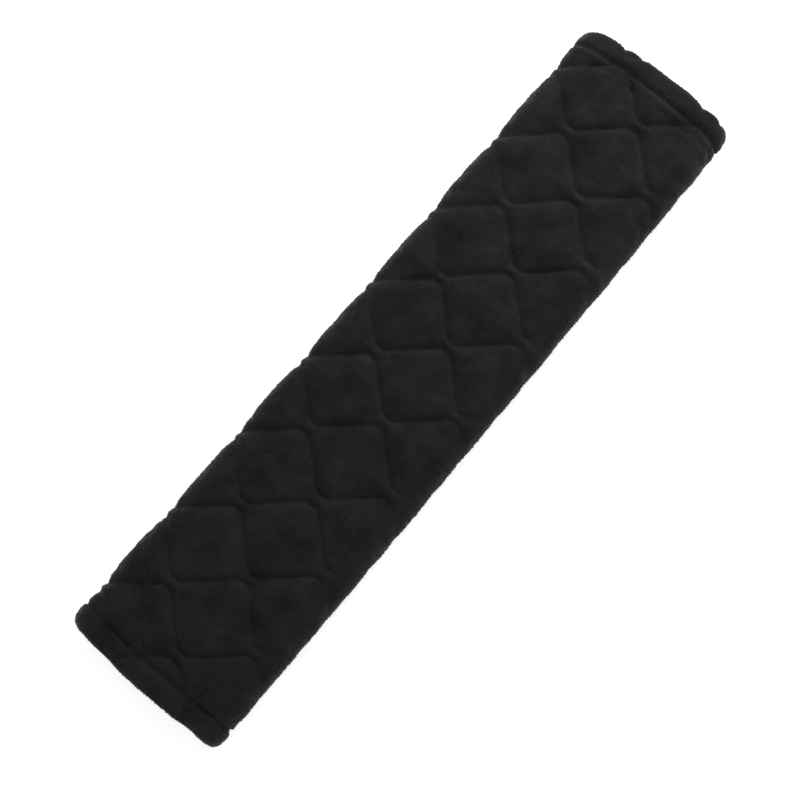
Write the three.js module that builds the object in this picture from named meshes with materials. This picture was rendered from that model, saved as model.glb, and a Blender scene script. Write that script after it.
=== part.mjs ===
// A quilted plush pad that wraps round a seat belt at the shoulder.
// One laminate of plush, wadding and lining is stitched through in wavy lines, turned in and hemmed at both
// ends, and folded round the belt. Its two long edges lap underneath, held by hook and loop tape.
// Millimetres. X runs along the belt, Y across it and Z up. The origin is the middle of the underside.
import * as THREE from 'three';

// The closed pad
const padLength = 280;
const padWidth = 66;
const beltGap = 6;
const frontBow = 1.2;

// The laminate
const crownThickness = 6.6;
const stitchedThickness = 5;
const liningThickness = 0.35;
const layerGap = 0.3;
const plushAtSeam = 0.65;
const plushGrowth = 0.323;
const thinnestLaminate = 1.9;

// The quilting
const lineSpacing = 17.19;
const neckPitch = 18.1;
const neckWidth = 4;
const neckLength = 3.9;
const crownReach = 6.5;
const crownSharpness = 0.8;
const quiltStart = new THREE.Vector2(-19.7, 4.7);

// The hems at both ends
const hemStitchInset = 8;
const hemTurnIn = 10;
const hemLaminate = 3.5;
const hemFoldRadius = 0.2;
const hemPinch = 2.7;
const hemPinchReach = 1.6;
const hemRunOut = 6;
const hemNotch = 0.7;

// The lapped closure
const innerFlapReach = 8;
const outerFlapReach = 14;
const innerFlapThickness = 2.4;
const innerFlapHemLaminate = 2.1;
const innerFlapLift = 1;
const flapEdgeThickness = 2.6;
const flapEdgeReach = 3;
const flapClearance = 1.5;
const stepLength = 10;

// The hook and loop tapes
const tapeWidth = 18;
const tapeEndInset = 22;
const tapeSelvedge = 1.5;
const tapeBase = 0.4;
const tapePile = 0.6;
const tapeGap = 0.3;

// Worked out from the sizes above
const halfLength = padLength / 2;
const hemX = halfLength - hemStitchInset;
const passageRadius = beltGap / 2;
const neutralDepth = crownThickness / 2;
const neutralRadius = passageRadius + neutralDepth;
const foldY = padWidth / 2 - passageRadius - crownThickness;
const waveAmplitude = (lineSpacing - neckWidth) / 2;
const waveSlope = Math.atan2(2 * waveAmplitude, neckPitch - neckLength);
const tapeThickness = tapeBase + tapePile;
const tapeStack = 2 * tapeThickness + 3 * tapeGap;
const outerFlapThickness = 2 * (thinnestLaminate + hemFoldRadius);
const innerFlapDrop = passageRadius - innerFlapLift;
const outerFlapDrop = innerFlapDrop + innerFlapThickness + tapeStack;
const passageZ = outerFlapDrop + outerFlapThickness;

// How finely the faces are divided: the hidden ones have fewer rows and columns
const shownMesh = { turns: 6, endRowPitch: 8, shares: [0, 0.16, 0.5, 0.84], turnPitch: 2.9, flatPitch: 7.5 };
const hiddenMesh = { turns: 3, endRowPitch: 9, shares: [0, 0.5], turnPitch: 5.2, flatPitch: 15 };
const closestRows = 0.6;

const { clamp, lerp, smoothstep } = THREE.MathUtils;

// The pad's cross-section, as the line that neither stretches nor shrinks when the laminate is folded.
// It starts at the inner flap's edge, passes round the +Y fold, over the front and round the -Y fold,
// and steps down under the inner flap to the outer flap's edge.
function makeSection() {
  const path = new THREE.Path();
  const backZ = passageZ - neutralRadius;
  const frontZ = passageZ + neutralRadius;
  const innerFlapZ = passageZ - innerFlapDrop - neutralDepth;
  const outerFlapZ = passageZ - outerFlapDrop - neutralDepth;
  const liftEnd = outerFlapReach + flapClearance;
  const stepEnd = -innerFlapReach - flapClearance;
  const stepStart = stepEnd - stepLength;

  const liftMiddle = (liftEnd + foldY) / 2;
  const stepMiddle = (stepStart + stepEnd) / 2;

  path.moveTo(-innerFlapReach, innerFlapZ);
  path.lineTo(liftEnd, innerFlapZ);
  path.bezierCurveTo(liftMiddle, innerFlapZ, liftMiddle, backZ, foldY, backZ);
  path.absarc(foldY, passageZ, neutralRadius, -Math.PI / 2, Math.PI / 2, false);
  path.bezierCurveTo(foldY / 2, frontZ, foldY / 2, frontZ + frontBow, 0, frontZ + frontBow);
  path.bezierCurveTo(-foldY / 2, frontZ + frontBow, -foldY / 2, frontZ, -foldY, frontZ);
  path.absarc(-foldY, passageZ, neutralRadius, Math.PI / 2, 1.5 * Math.PI, false);
  path.lineTo(stepStart, backZ);
  path.bezierCurveTo(stepMiddle, backZ, stepMiddle, outerFlapZ, stepEnd, outerFlapZ);
  path.lineTo(outerFlapReach, outerFlapZ);

  // Where each stretch ends, measured across the flat cloth from the front's middle
  const ends = path.getCurveLengths().map((length, i, all) => length - all[3]);
  return { path, firstV: -path.getCurveLengths()[3], ends };
}

const section = makeSection();
const { firstV } = section;
const [innerFlapEnd, firstFoldStart, firstFoldEnd, , secondFoldStart, secondFoldEnd] = section.ends;
const [stepStartV, stepEndV, lastV] = section.ends.slice(6);

// A point of the folded laminate: x along the pad, v across the flat cloth from the front's middle,
// and h the height above the belt passage's wall.
function foldedPoint(x, v, h) {
  const t = clamp((v - firstV) / (lastV - firstV), 0, 1);
  const at = section.path.getPoint(t);
  const along = section.path.getTangent(t);
  const offset = h - neutralDepth;
  return new THREE.Vector3(x, at.x + along.y * offset, at.y - along.x * offset);
}

// How far the flaps are sewn flat for the tapes: 1 on the flaps and 0 where the pad is full
function flatness(v) {
  const inner = 1 - smoothstep(v, innerFlapEnd, firstFoldStart);
  const outer = smoothstep(v, stepStartV, stepEndV);
  return Math.max(inner, outer);
}

function flapThickness(v) {
  if (v < 0) return innerFlapThickness;
  const fromEdge = smoothstep(lastV - v, 0, flapEdgeReach);
  return lerp(flapEdgeThickness, outerFlapThickness, fromEdge);
}

// Thickness of one of the two laminates in the rolled hem
function rolledLaminate(v) {
  const flap = v < 0 ? innerFlapHemLaminate : thinnestLaminate;
  return lerp(hemLaminate, flap, flatness(v));
}

// A wave of flat peaks joined by straight slopes: 1 at even necks and -1 at odd ones
function wave(v) {
  const steps = (v - quiltStart.y) / neckPitch;
  const nearest = Math.round(steps);
  const side = nearest % 2 === 0 ? 1 : -1;
  const fromPeak = Math.max(Math.abs(steps - nearest) * neckPitch - neckLength / 2, 0);
  return side * (1 - (2 * fromPeak) / (neckPitch - neckLength));
}

// X of stitch line k. Neighbouring lines mirror each other, so they close to a neck and open to a belly.
function stitchLine(k, v) {
  const side = k % 2 === 0 ? 1 : -1;
  return quiltStart.x + (k + 0.5) * lineSpacing - side * waveAmplitude * wave(v);
}

// How full the cloth stands: 0 at a stitch line and 1 from crownReach away
function fullness(distance) {
  const slack = 1 - clamp(distance / crownReach, 0, 1);
  return (1 - slack * slack) ** crownSharpness;
}

function distanceToQuilting(x, v) {
  const k = Math.round((x - quiltStart.x) / lineSpacing - 0.5);
  const distances = [k - 1, k, k + 1].map((line) => Math.abs(x - stitchLine(line, v)));
  return Math.min(...distances) * Math.cos(waveSlope);
}

// Laminate thickness within a hem, at an inset from the pad's end
function hemThickness(inset, v) {
  const rolled = rolledLaminate(v);
  const outside = Math.max(hemStitchInset - inset, 0) / hemPinchReach;
  return lerp(rolled, Math.min(rolled, hemPinch), Math.exp(-outside * outside));
}

// Height of the outer laminate's lining above the passage wall, where the turned-in hem lies under it
function hemLift(inset, v) {
  const runOut = 1 - smoothstep(inset, hemTurnIn, hemTurnIn + hemRunOut);
  return (hemThickness(inset, v) + 2 * hemFoldRadius) * runOut;
}

// A station is where the lining's face lies along the pad and above the passage wall, which way the
// plush lies from it, and how thick the laminate is.
function bodyStation(x, v) {
  const inset = halfLength - Math.abs(x);
  const lift = hemLift(inset, v);
  const crown = crownThickness - lift;
  const quilted = lerp(Math.min(stitchedThickness, crown), crown, fullness(distanceToQuilting(x, v)));
  const padded = lerp(hemPinch, quilted, fullness(inset - hemStitchInset));
  const flat = Math.max(rolledLaminate(v), flapThickness(v) - lift);
  return { x, h: lift, nx: 0, nh: 1, thickness: lerp(padded, flat, flatness(v)) };
}

function turnedInStation(end, inset, v) {
  const thickness = hemThickness(inset, v);
  return { x: end * (halfLength - inset), h: thickness, nx: 0, nh: -1, thickness };
}

function hemTopStation(end, inset, v) {
  const x = end * (halfLength - inset);
  const dip = hemNotch * (1 - fullness(distanceToQuilting(x, v))) * (1 - flatness(v));
  const thickness = hemThickness(inset, v) - Math.min(dip, hemThickness(inset, v) - thinnestLaminate);
  return { x, h: hemLift(inset, v), nx: 0, nh: 1, thickness };
}

function foldInset(v) {
  return rolledLaminate(v) + hemFoldRadius;
}

function endFoldStation(end, angle, v) {
  const centre = foldInset(v);
  const nx = end * Math.cos(angle);
  const nh = Math.sin(angle);
  const x = end * (halfLength - centre) + nx * hemFoldRadius;
  return { x, h: centre + nh * hemFoldRadius, nx, nh, thickness: rolledLaminate(v) };
}

// Rows of stations from a hem's raw edge out to the end, over it and back to the hem's stitching.
// A row's lay is its place along the cloth when that is spread flat.
function hemRows(end, turns) {
  const rows = [];
  const layOf = (distance) => end * (halfLength + distance);
  const middle = (hemStitchInset + foldInset(0)) / 2;
  const under = turns > hiddenMesh.turns ? [hemTurnIn, hemStitchInset, middle] : [hemTurnIn, hemStitchInset];
  for (const inset of under) {
    rows.push({ lay: layOf(inset), at: (v) => turnedInStation(end, inset, v) });
  }
  for (let i = 0; i <= turns; i += 1) {
    const angle = Math.PI * (i / turns - 0.5);
    rows.push({ lay: layOf((1 - i / turns) * foldInset(0)), at: (v) => endFoldStation(end, angle, v) });
  }
  if (turns > hiddenMesh.turns) rows.push({ lay: layOf(-middle), at: (v) => hemTopStation(end, middle, v) });
  return end < 0 ? rows : rows.reverse();
}

function bodyRow(xAt) {
  return { lay: xAt(0), at: (v) => bodyStation(xAt(v), v) };
}

// Rows that run from one boundary line to the next, at the given shares of the way
function rowsBetween(fromX, toX, shares) {
  return shares.map((share) => bodyRow((v) => lerp(fromX(v), toX(v), share)));
}

// Only the rows where a hem lifts the lining, and the ones beside them
function keepHems(rows, columns) {
  const isLifted = (row) => row !== undefined && columns.some((v) => row.at(v).h > 0);
  return rows.filter((row, i) => [rows[i - 1], row, rows[i + 1]].some(isLifted));
}

function evenShares(count) {
  return Array.from({ length: count }, (unused, i) => i / count);
}

// The stitch lines that show between the hems, wholly or in part
function shownStitchLines() {
  const limit = hemX + waveAmplitude - neckWidth;
  const lines = [];
  const last = Math.ceil(padLength / lineSpacing);
  for (let k = -last; k <= last; k += 1) {
    const middle = quiltStart.x + (k + 0.5) * lineSpacing;
    if (Math.abs(middle) < limit) lines.push(k);
  }
  return lines;
}

function makeRows({ turns, endRowPitch, shares }) {
  const lines = shownStitchLines();
  const nearHem = hemX - closestRows;
  const lineAt = (k) => (v) => clamp(stitchLine(k, v), -nearHem, nearHem);
  const endGap = (k) => hemX - Math.abs(quiltStart.x + (k + 0.5) * lineSpacing) + waveAmplitude;
  const endShares = (k) => evenShares(Math.max(1, Math.round(endGap(k) / endRowPitch)));

  const rows = hemRows(-1, turns);
  rows.push(...rowsBetween(() => -hemX, lineAt(lines[0]), endShares(lines[0])));
  for (const k of lines.slice(0, -1)) {
    rows.push(...rowsBetween(lineAt(k), lineAt(k + 1), shares));
  }
  const lastLine = lines.at(-1);
  rows.push(...rowsBetween(lineAt(lastLine), () => hemX, endShares(lastLine)));
  rows.push(bodyRow(() => hemX));
  rows.push(...hemRows(1, turns));
  return rows;
}

// Places across the cloth: the corners of the stitch lines' waves, with more where the cloth turns
function makeColumns({ turnPitch, flatPitch }) {
  const stops = [firstV, lastV];
  const first = Math.floor((firstV - quiltStart.y) / neckPitch);
  const last = Math.ceil((lastV - quiltStart.y) / neckPitch);
  for (let j = first; j <= last; j += 1) {
    const neck = quiltStart.y + j * neckPitch;
    stops.push(neck - neckLength / 2, neck + neckLength / 2);
  }
  stops.push(...section.ends.filter((v) => v !== 0), lastV - flapEdgeReach);

  const kept = stops.filter((v) => v >= firstV && v <= lastV).sort((a, b) => a - b);
  const columns = [kept[0]];
  for (const stop of kept.slice(1)) {
    const from = columns.at(-1);
    const width = stop - from;
    const isEnd = stop === lastV;
    if (width < turnPitch / 2 && !isEnd) continue;
    const middle = from + width / 2;
    const isFolded = middle > 0 ? middle < secondFoldEnd && middle > secondFoldStart : false;
    const turning = isFolded || (middle > firstFoldStart && middle < firstFoldEnd);
    const parts = Math.ceil(width / (turning ? turnPitch : flatPitch) - 0.01);
    for (let i = 1; i <= parts; i += 1) columns.push(from + (width * i) / parts);
  }
  return columns;
}

// Depth of each face of the layers from the lining's belt side, for a laminate of a given thickness
function plushThickness(thickness) {
  return plushAtSeam + plushGrowth * (thickness - thinnestLaminate);
}

const depths = {
  liningFace: () => 0,
  liningBack: () => liningThickness,
  waddingUnder: () => liningThickness + layerGap,
  waddingTop: (thickness) => thickness - plushThickness(thickness) - layerGap,
  plushBack: (thickness) => thickness - plushThickness(thickness),
  plushFace: (thickness) => thickness,
};

function makeFace(rows, columns, depth) {
  const points = [];
  for (const row of rows) {
    for (const v of columns) {
      const { x, h, nx, nh, thickness } = row.at(v);
      const d = depth(thickness);
      points.push(foldedPoint(x + nx * d, v, h + nh * d));
    }
  }
  return { points, rows, columns };
}

// The face's border, once round, as point numbers and their places on a loop from 0 to 4
function borderOf({ rows, columns }) {
  const rowSpan = rows.at(-1).lay - rows[0].lay;
  const columnSpan = columns.at(-1) - columns[0];
  const alongRow = (r) => (rows[r].lay - rows[0].lay) / rowSpan;
  const alongColumn = (c) => (columns[c] - columns[0]) / columnSpan;
  const lastRow = rows.length - 1;
  const lastColumn = columns.length - 1;
  const number = (r, c) => r * columns.length + c;
  const border = [];
  for (let r = 0; r < lastRow; r += 1) border.push([number(r, 0), alongRow(r)]);
  for (let c = 0; c < lastColumn; c += 1) border.push([number(lastRow, c), 1 + alongColumn(c)]);
  for (let r = lastRow; r > 0; r -= 1) border.push([number(r, lastColumn), 3 - alongRow(r)]);
  for (let c = lastColumn; c > 0; c -= 1) border.push([number(0, c), 4 - alongColumn(c)]);
  border.push([number(0, 0), 4]);
  return border;
}

function faceTriangles({ rows, columns }, start, facesOut) {
  const triangles = [];
  for (let r = 0; r < rows.length - 1; r += 1) {
    for (let c = 0; c < columns.length - 1; c += 1) {
      const a = start + r * columns.length + c;
      const b = a + columns.length;
      if (facesOut) triangles.push(a, b + 1, b, a, a + 1, b + 1);
      else triangles.push(a, b, b + 1, a, b + 1, a + 1);
    }
  }
  return triangles;
}

// One layer of the laminate as a closed solid: an outer face, an inner face and the cut edge between
function makeLayer(outer, inner) {
  const start = outer.points.length;
  const triangles = [...faceTriangles(outer, 0, true), ...faceTriangles(inner, start, false)];
  const outerBorder = borderOf(outer);
  const innerBorder = borderOf(inner).map(([number, place]) => [number + start, place]);
  let i = 0;
  let j = 0;
  while (i < outerBorder.length - 1 || j < innerBorder.length - 1) {
    const nextOuter = i < outerBorder.length - 1 ? outerBorder[i + 1][1] : Infinity;
    const nextInner = j < innerBorder.length - 1 ? innerBorder[j + 1][1] : Infinity;
    if (nextOuter <= nextInner) {
      triangles.push(outerBorder[i][0], outerBorder[i + 1][0], innerBorder[j][0]);
      i += 1;
    } else {
      triangles.push(innerBorder[j + 1][0], innerBorder[j][0], outerBorder[i][0]);
      j += 1;
    }
  }
  const geometry = new THREE.BufferGeometry().setFromPoints([...outer.points, ...inner.points]);
  geometry.setIndex(triangles);
  geometry.computeVertexNormals();
  return geometry;
}

// A tape's section: a woven base with a bare selvedge on each side of its hooks or loops
function makeTape(pileSide) {
  const half = tapeWidth / 2;
  const pileHalf = half - tapeSelvedge;
  const base = pileSide * tapeBase;
  const pile = pileSide * tapeThickness;
  const shape = new THREE.Shape();
  shape.moveTo(-half, 0);
  shape.lineTo(half, 0);
  shape.lineTo(half, base);
  shape.lineTo(pileHalf, base);
  shape.lineTo(pileHalf, pile);
  shape.lineTo(-pileHalf, pile);
  shape.lineTo(-pileHalf, base);
  shape.lineTo(-half, base);
  shape.closePath();
  const length = padLength - 2 * tapeEndInset;
  const geometry = new THREE.ExtrudeGeometry(shape, { depth: length, bevelEnabled: false });
  geometry.translate(0, 0, -length / 2);
  geometry.rotateX(Math.PI / 2);
  geometry.rotateZ(Math.PI / 2);
  return geometry;
}

function makeMesh(name, geometry, color, roughness) {
  const material = new THREE.MeshStandardMaterial({ color, roughness, metalness: 0 });
  const mesh = new THREE.Mesh(geometry, material);
  mesh.name = name;
  return mesh;
}

function makePad() {
  const fineRows = makeRows(shownMesh);
  const fineColumns = makeColumns(shownMesh);
  const coarseRows = makeRows(hiddenMesh);
  const coarseColumns = makeColumns(hiddenMesh);
  const plainRows = keepHems(coarseRows, coarseColumns);

  const plush = makeLayer(
    makeFace(fineRows, fineColumns, depths.plushFace),
    makeFace(coarseRows, coarseColumns, depths.plushBack),
  );
  const wadding = makeLayer(
    makeFace(coarseRows, coarseColumns, depths.waddingTop),
    makeFace(plainRows, coarseColumns, depths.waddingUnder),
  );
  const lining = makeLayer(
    makeFace(plainRows, coarseColumns, depths.liningBack),
    makeFace(plainRows, coarseColumns, depths.liningFace),
  );

  const pad = new THREE.Group();
  pad.add(makeMesh('plush_cover', plush, 0x1d1d1d, 1));
  pad.add(makeMesh('wadding', wadding, 0xe8e6e0, 1));
  pad.add(makeMesh('lining', lining, 0x161616, 0.9));

  const tapeY = (outerFlapReach - innerFlapReach) / 2;
  const loopTape = makeMesh('loop_tape', makeTape(-1), 0x141414, 0.95);
  loopTape.position.set(0, tapeY, passageZ - innerFlapDrop - innerFlapThickness - tapeGap);
  const hookTape = makeMesh('hook_tape', makeTape(1), 0x101010, 0.7);
  hookTape.position.set(0, tapeY, passageZ - outerFlapDrop + tapeGap);
  pad.add(loopTape, hookTape);
  return pad;
}

export default makePad();
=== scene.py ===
"""A quilted black plush pad that closes round a seat belt, lying face up on a white floor.

The cloth is worked out the way the pad is sewn. One laminate of plush, wadding and lining is quilted in
wavy lines, turned in and hemmed at both ends, and folded round the belt's passage. Every surface starts
from the same three steps: a station along the pad, a place across the flat cloth, and a fold round the belt.
"""

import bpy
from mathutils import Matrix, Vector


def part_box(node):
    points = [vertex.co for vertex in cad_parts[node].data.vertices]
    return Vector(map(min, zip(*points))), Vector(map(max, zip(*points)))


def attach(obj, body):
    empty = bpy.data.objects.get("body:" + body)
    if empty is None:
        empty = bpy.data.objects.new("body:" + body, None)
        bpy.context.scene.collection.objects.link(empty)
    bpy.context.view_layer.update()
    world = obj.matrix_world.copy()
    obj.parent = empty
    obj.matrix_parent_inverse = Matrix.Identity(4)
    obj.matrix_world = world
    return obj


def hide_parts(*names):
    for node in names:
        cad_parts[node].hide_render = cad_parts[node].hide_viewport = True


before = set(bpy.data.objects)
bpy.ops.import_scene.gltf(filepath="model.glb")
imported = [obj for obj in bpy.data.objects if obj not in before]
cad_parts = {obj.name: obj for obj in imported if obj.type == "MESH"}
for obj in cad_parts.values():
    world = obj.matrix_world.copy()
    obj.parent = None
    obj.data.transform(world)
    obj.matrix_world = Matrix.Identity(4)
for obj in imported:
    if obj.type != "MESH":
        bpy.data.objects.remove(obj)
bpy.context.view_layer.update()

import logging
import math
from dataclasses import dataclass
from enum import Enum

import bpy
import numpy as np
from mathutils import Vector

log = logging.getLogger("seat_belt_pad")

MM = 0.001
TINY = 1e-12
BODY = "root"

# Places read on a grid stop this far short of its size, inside its last cell.
LAST_CELL = 1.001

# The bake map, and where a layer's two faces lie on it, each as its start and its breadth.
BAKE_MAP = "OFBake"
OUTER_SPAN = (0.005, 0.74)
INNER_SPAN = (0.76, 0.235)
HEIGHT_SPAN = (0.005, 0.99)


class TapeKind(Enum):
    """The two tapes of the closure, named as their solids are."""

    LOOP = "loop_tape"
    HOOK = "hook_tape"


@dataclass(frozen=True)
class PadSizes:
    """The pad's sizes in millimetres.

    They are the solids' sizes, except that the broad relief is a little softer, because the narrow grooves
    are added to it, and that the sewing draws the ends in and bends the pad a little.
    """

    length: float = 280.0
    width: float = 66.0
    belt_gap: float = 6.0
    front_bow: float = 1.2
    crown: float = 6.6
    stitched: float = 5.35
    least_sewn: float = 2.1
    lining: float = 0.35
    layer_gap: float = 0.3
    thinnest: float = 1.9
    crown_reach: float = 12.0
    crown_sharpness: float = 0.95
    hem_crown_reach: float = 6.0
    front_fold_relief: float = 0.24
    rear_fold_relief: float = 0.4
    fold_relief_reach: float = 9.0
    hem_stitch_inset: float = 8.0
    hem_turn_in: float = 10.0
    hem_laminate: float = 3.3
    hem_fold_radius: float = 0.2
    hem_pinch: float = 2.75
    hem_pinch_reach: float = 1.2
    hem_run_out: float = 6.0
    inner_flap_reach: float = 8.0
    outer_flap_reach: float = 14.0
    inner_flap: float = 2.4
    inner_flap_hem: float = 2.1
    inner_flap_lift: float = 1.0
    flap_edge: float = 2.6
    flap_edge_reach: float = 3.0
    flap_clearance: float = 1.5
    step_length: float = 10.0
    tape_width: float = 18.0
    tape_end_inset: float = 22.0
    tape_selvedge: float = 1.5
    tape_base: float = 0.4
    tape_pile: float = 0.6
    tape_gap: float = 0.3
    rear_corner_draw: float = 2.0
    front_corner_draw: float = 0.5
    corner_draw_reach: float = 13.0
    near_end_draw: float = 0.8
    end_draw_length: float = 34.0
    end_narrowing: float = 0.028
    end_narrowing_length: float = 12.0
    hem_widening: float = 1.0
    bend: float = 0.6
    taper: float = 0.008
    hidden_share: float = 0.42
    closed_lap: float = 20.0

    @property
    def half(self) -> float:
        """Half the pad's length."""
        return self.length / 2

    @property
    def passage_radius(self) -> float:
        """Radius of the lining where it turns at the side folds."""
        return self.belt_gap / 2

    @property
    def neutral_depth(self) -> float:
        """Depth in the laminate of the line that a fold leaves at its length."""
        return self.crown / 2

    @property
    def neutral_radius(self) -> float:
        """Radius of that line round the side folds."""
        return self.passage_radius + self.neutral_depth

    @property
    def fold_y(self) -> float:
        """Distance of each side fold's centre from the middle."""
        return self.width / 2 - self.passage_radius - self.crown

    @property
    def outer_flap(self) -> float:
        """Thickness of the outer flap."""
        return 2 * (self.thinnest + self.hem_fold_radius)

    @property
    def tape_thickness(self) -> float:
        """Thickness of one tape with its hooks or loops."""
        return self.tape_base + self.tape_pile

    @property
    def inner_flap_drop(self) -> float:
        """How far the inner flap's lining lies below the passage's middle."""
        return self.passage_radius - self.inner_flap_lift

    @property
    def outer_flap_drop(self) -> float:
        """How far the outer flap's lining lies below the passage's middle."""
        tapes = 2 * self.tape_thickness + 3 * self.tape_gap
        return self.inner_flap_drop + self.inner_flap + tapes

    @property
    def passage_z(self) -> float:
        """Height of the passage's middle above the table."""
        return self.outer_flap_drop + self.outer_flap


def smoothstep(x: np.ndarray, low: float, high: float) -> np.ndarray:
    """Eases from 0 at low to 1 at high."""
    t = np.clip((x - low) / (high - low), 0.0, 1.0)
    return t * t * (3.0 - 2.0 * t)


def mix(a: np.ndarray, b: np.ndarray, share: np.ndarray) -> np.ndarray:
    """Blends from a to b by share."""
    return a + (b - a) * share


def bell(x: np.ndarray) -> np.ndarray:
    """A bell curve, 1 at nought and falling off as the exponential of minus x squared."""
    return np.exp(-x * x)


def unit(vectors: np.ndarray) -> np.ndarray:
    """The vectors, which lie along the last axis, brought to length 1."""
    return vectors / np.maximum(np.linalg.norm(vectors, axis=-1, keepdims=True), TINY)


def read_grid(values: np.ndarray, a: np.ndarray, b: np.ndarray) -> np.ndarray:
    """Reads values on a grid between its points, by straight blending.

    Args:
        values: The values, with rows, columns and their own axis.
        a: Rows to read at, with fractions.
        b: Columns to read at, with fractions.

    Returns:
        The blended values.
    """
    i, j = a.astype(int), b.astype(int)
    fa, fb = (a - i)[..., None], (b - j)[..., None]
    low = mix(values[i, j], values[i + 1, j], fa)
    high = mix(values[i, j + 1], values[i + 1, j + 1], fa)
    return mix(low, high, fb)


class Section:
    """The pad's cross-section, as the line that keeps its length when the laminate is folded.

    It runs from the inner flap's edge round the +Y fold, over the front, round the -Y fold and down under
    the inner flap to the outer flap's edge. Places on it are measured from the middle of the front.
    """

    curve_points: int = 301
    even_places: int = 4001
    back_handle: float = 0.9

    def __init__(self, sizes: PadSizes) -> None:
        """Samples the line finely and measures it.

        Args:
            sizes: The pad's sizes.
        """
        self.sizes = sizes
        stretches = self._stretches()
        lengths = [np.linalg.norm(np.diff(points, axis=0), axis=1).sum() for points in stretches]
        before_middle = sum(lengths[:4])
        self.outermost = lengths[3] + math.pi * sizes.neutral_radius / 2
        self.line = np.concatenate([stretches[0]] + [points[1:] for points in stretches[1:]])
        steps = np.linalg.norm(np.diff(self.line, axis=0), axis=1)
        self.ends = np.cumsum(lengths) - before_middle
        self.places = np.concatenate([[0.0], np.cumsum(steps)]) - before_middle
        self.first, self.last = self.places[0], self.places[-1]
        self.even = np.linspace(self.first, self.last, self.even_places)
        y, z = self._read(self.even)
        ty, tz = np.gradient(y, self.even), np.gradient(z, self.even)
        size = np.hypot(ty, tz)
        self.tangents = (ty / size, tz / size)

    def _stretches(self) -> list[np.ndarray]:
        """The line's nine stretches in order: flap, lift, fold, half front twice, fold, back, step, flap.

        Returns:
            Each stretch's points, as Y and Z.
        """
        s = self.sizes
        fy, r = s.fold_y, s.neutral_radius
        back, front = s.passage_z - r, s.passage_z + r
        bow = front + s.front_bow
        inner = s.passage_z - s.inner_flap_drop - s.neutral_depth
        outer = s.passage_z - s.outer_flap_drop - s.neutral_depth
        lift_end = s.outer_flap_reach + s.flap_clearance
        step_end = -s.inner_flap_reach - s.flap_clearance
        step_start = step_end - s.step_length
        lift_mid, step_mid = (lift_end + fy) / 2, (step_start + step_end) / 2
        edge = s.outer_flap_reach
        return [
            self._cubic((-s.inner_flap_reach, inner), (0, inner), (lift_end / 2, inner), (lift_end, inner)),
            self._cubic((lift_end, inner), (lift_mid, inner), (lift_mid, back), (fy, back)),
            self._arc(fy, s.passage_z, r, -0.5, 0.5),
            self._cubic((fy, front), (fy / 2, front), (fy / 2, bow), (0, bow)),
            self._cubic((0, bow), (-fy / 2, bow), (-fy / 2, front), (-fy, front)),
            self._arc(-fy, s.passage_z, r, 0.5, 1.5),
            self._cubic((-fy, back), (-fy * self.back_handle, back), (step_start, back), (step_start, back)),
            self._cubic((step_start, back), (step_mid, back), (step_mid, outer), (step_end, outer)),
            self._cubic((step_end, outer), (0, outer), (edge / 2, outer), (edge, outer)),
        ]

    def _cubic(self, a: tuple, b: tuple, c: tuple, d: tuple) -> np.ndarray:
        """A cubic curve, as the sum of its four points with the Bernstein weights.

        Args:
            a: The start.
            b: The start's handle.
            c: The end's handle.
            d: The end.

        Returns:
            Its points.
        """
        t = np.linspace(0.0, 1.0, self.curve_points)[:, None]
        a, b, c, d = (np.array(p, float) for p in (a, b, c, d))
        return a * (1 - t) ** 3 + 3 * b * t * (1 - t) ** 2 + 3 * c * t * t * (1 - t) + d * t**3

    def _arc(self, y: float, z: float, radius: float, start: float, end: float) -> np.ndarray:
        """Points of an arc about (y, z) between two angles given as shares of a half turn."""
        angle = np.linspace(start, end, self.curve_points) * math.pi
        return np.stack([y + radius * np.cos(angle), z + radius * np.sin(angle)], axis=1)

    def _read(self, v: np.ndarray) -> tuple[np.ndarray, np.ndarray]:
        """Y and Z of the line at places v."""
        return np.interp(v, self.places, self.line[:, 0]), np.interp(v, self.places, self.line[:, 1])

    def fold(self, x: np.ndarray, v: np.ndarray, offset: np.ndarray) -> np.ndarray:
        """Carries flat cloth round the belt.

        The point lies on the line's normal at v, at the given offset on the plush side. It keeps its x,
        except that the ends are drawn in a little, most at the corners. The whole pad is bent and tapered
        very slightly, as sewn cloth is.

        Args:
            x: Places along the pad.
            v: Places across the flat cloth.
            offset: Distances from the line.

        Returns:
            The points, in metres, with the last axis X, Y, Z.
        """
        s = self.sizes
        y, z = self._read(v)
        ty = np.interp(v, self.even, self.tangents[0])
        tz = np.interp(v, self.even, self.tangents[1])
        size = np.hypot(ty, tz)
        along = x / s.half
        at_end = smoothstep(np.abs(x), s.half - s.end_narrowing_length, s.half)
        narrowing = s.end_narrowing * at_end + s.taper * along
        y = (y + tz / size * offset) * (1.0 - narrowing) + s.bend * along * along
        return np.stack([x - np.sign(x) * self.draw_in(x, v), y, z - ty / size * offset], axis=-1) * MM

    def draw_in(self, x: np.ndarray, v: np.ndarray) -> np.ndarray:
        """How far the sewing draws the ends in: a bell curve at each side fold, and a little all over.

        Args:
            x: Places along the pad.
            v: Places across the flat cloth.

        Returns:
            The distances towards the middle.
        """
        s = self.sizes
        rear = s.rear_corner_draw * bell((v + self.outermost) / s.corner_draw_reach)
        front = s.front_corner_draw * bell((v - self.outermost) / s.corner_draw_reach)
        near = np.where(x < 0, s.near_end_draw, 0.0)
        widening = s.hem_widening * bell((s.half - s.hem_stitch_inset - np.abs(x)) / s.hem_run_out)
        return (rear + front + near) * smoothstep(np.abs(x), s.half - s.end_draw_length, s.half) + widening


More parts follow.
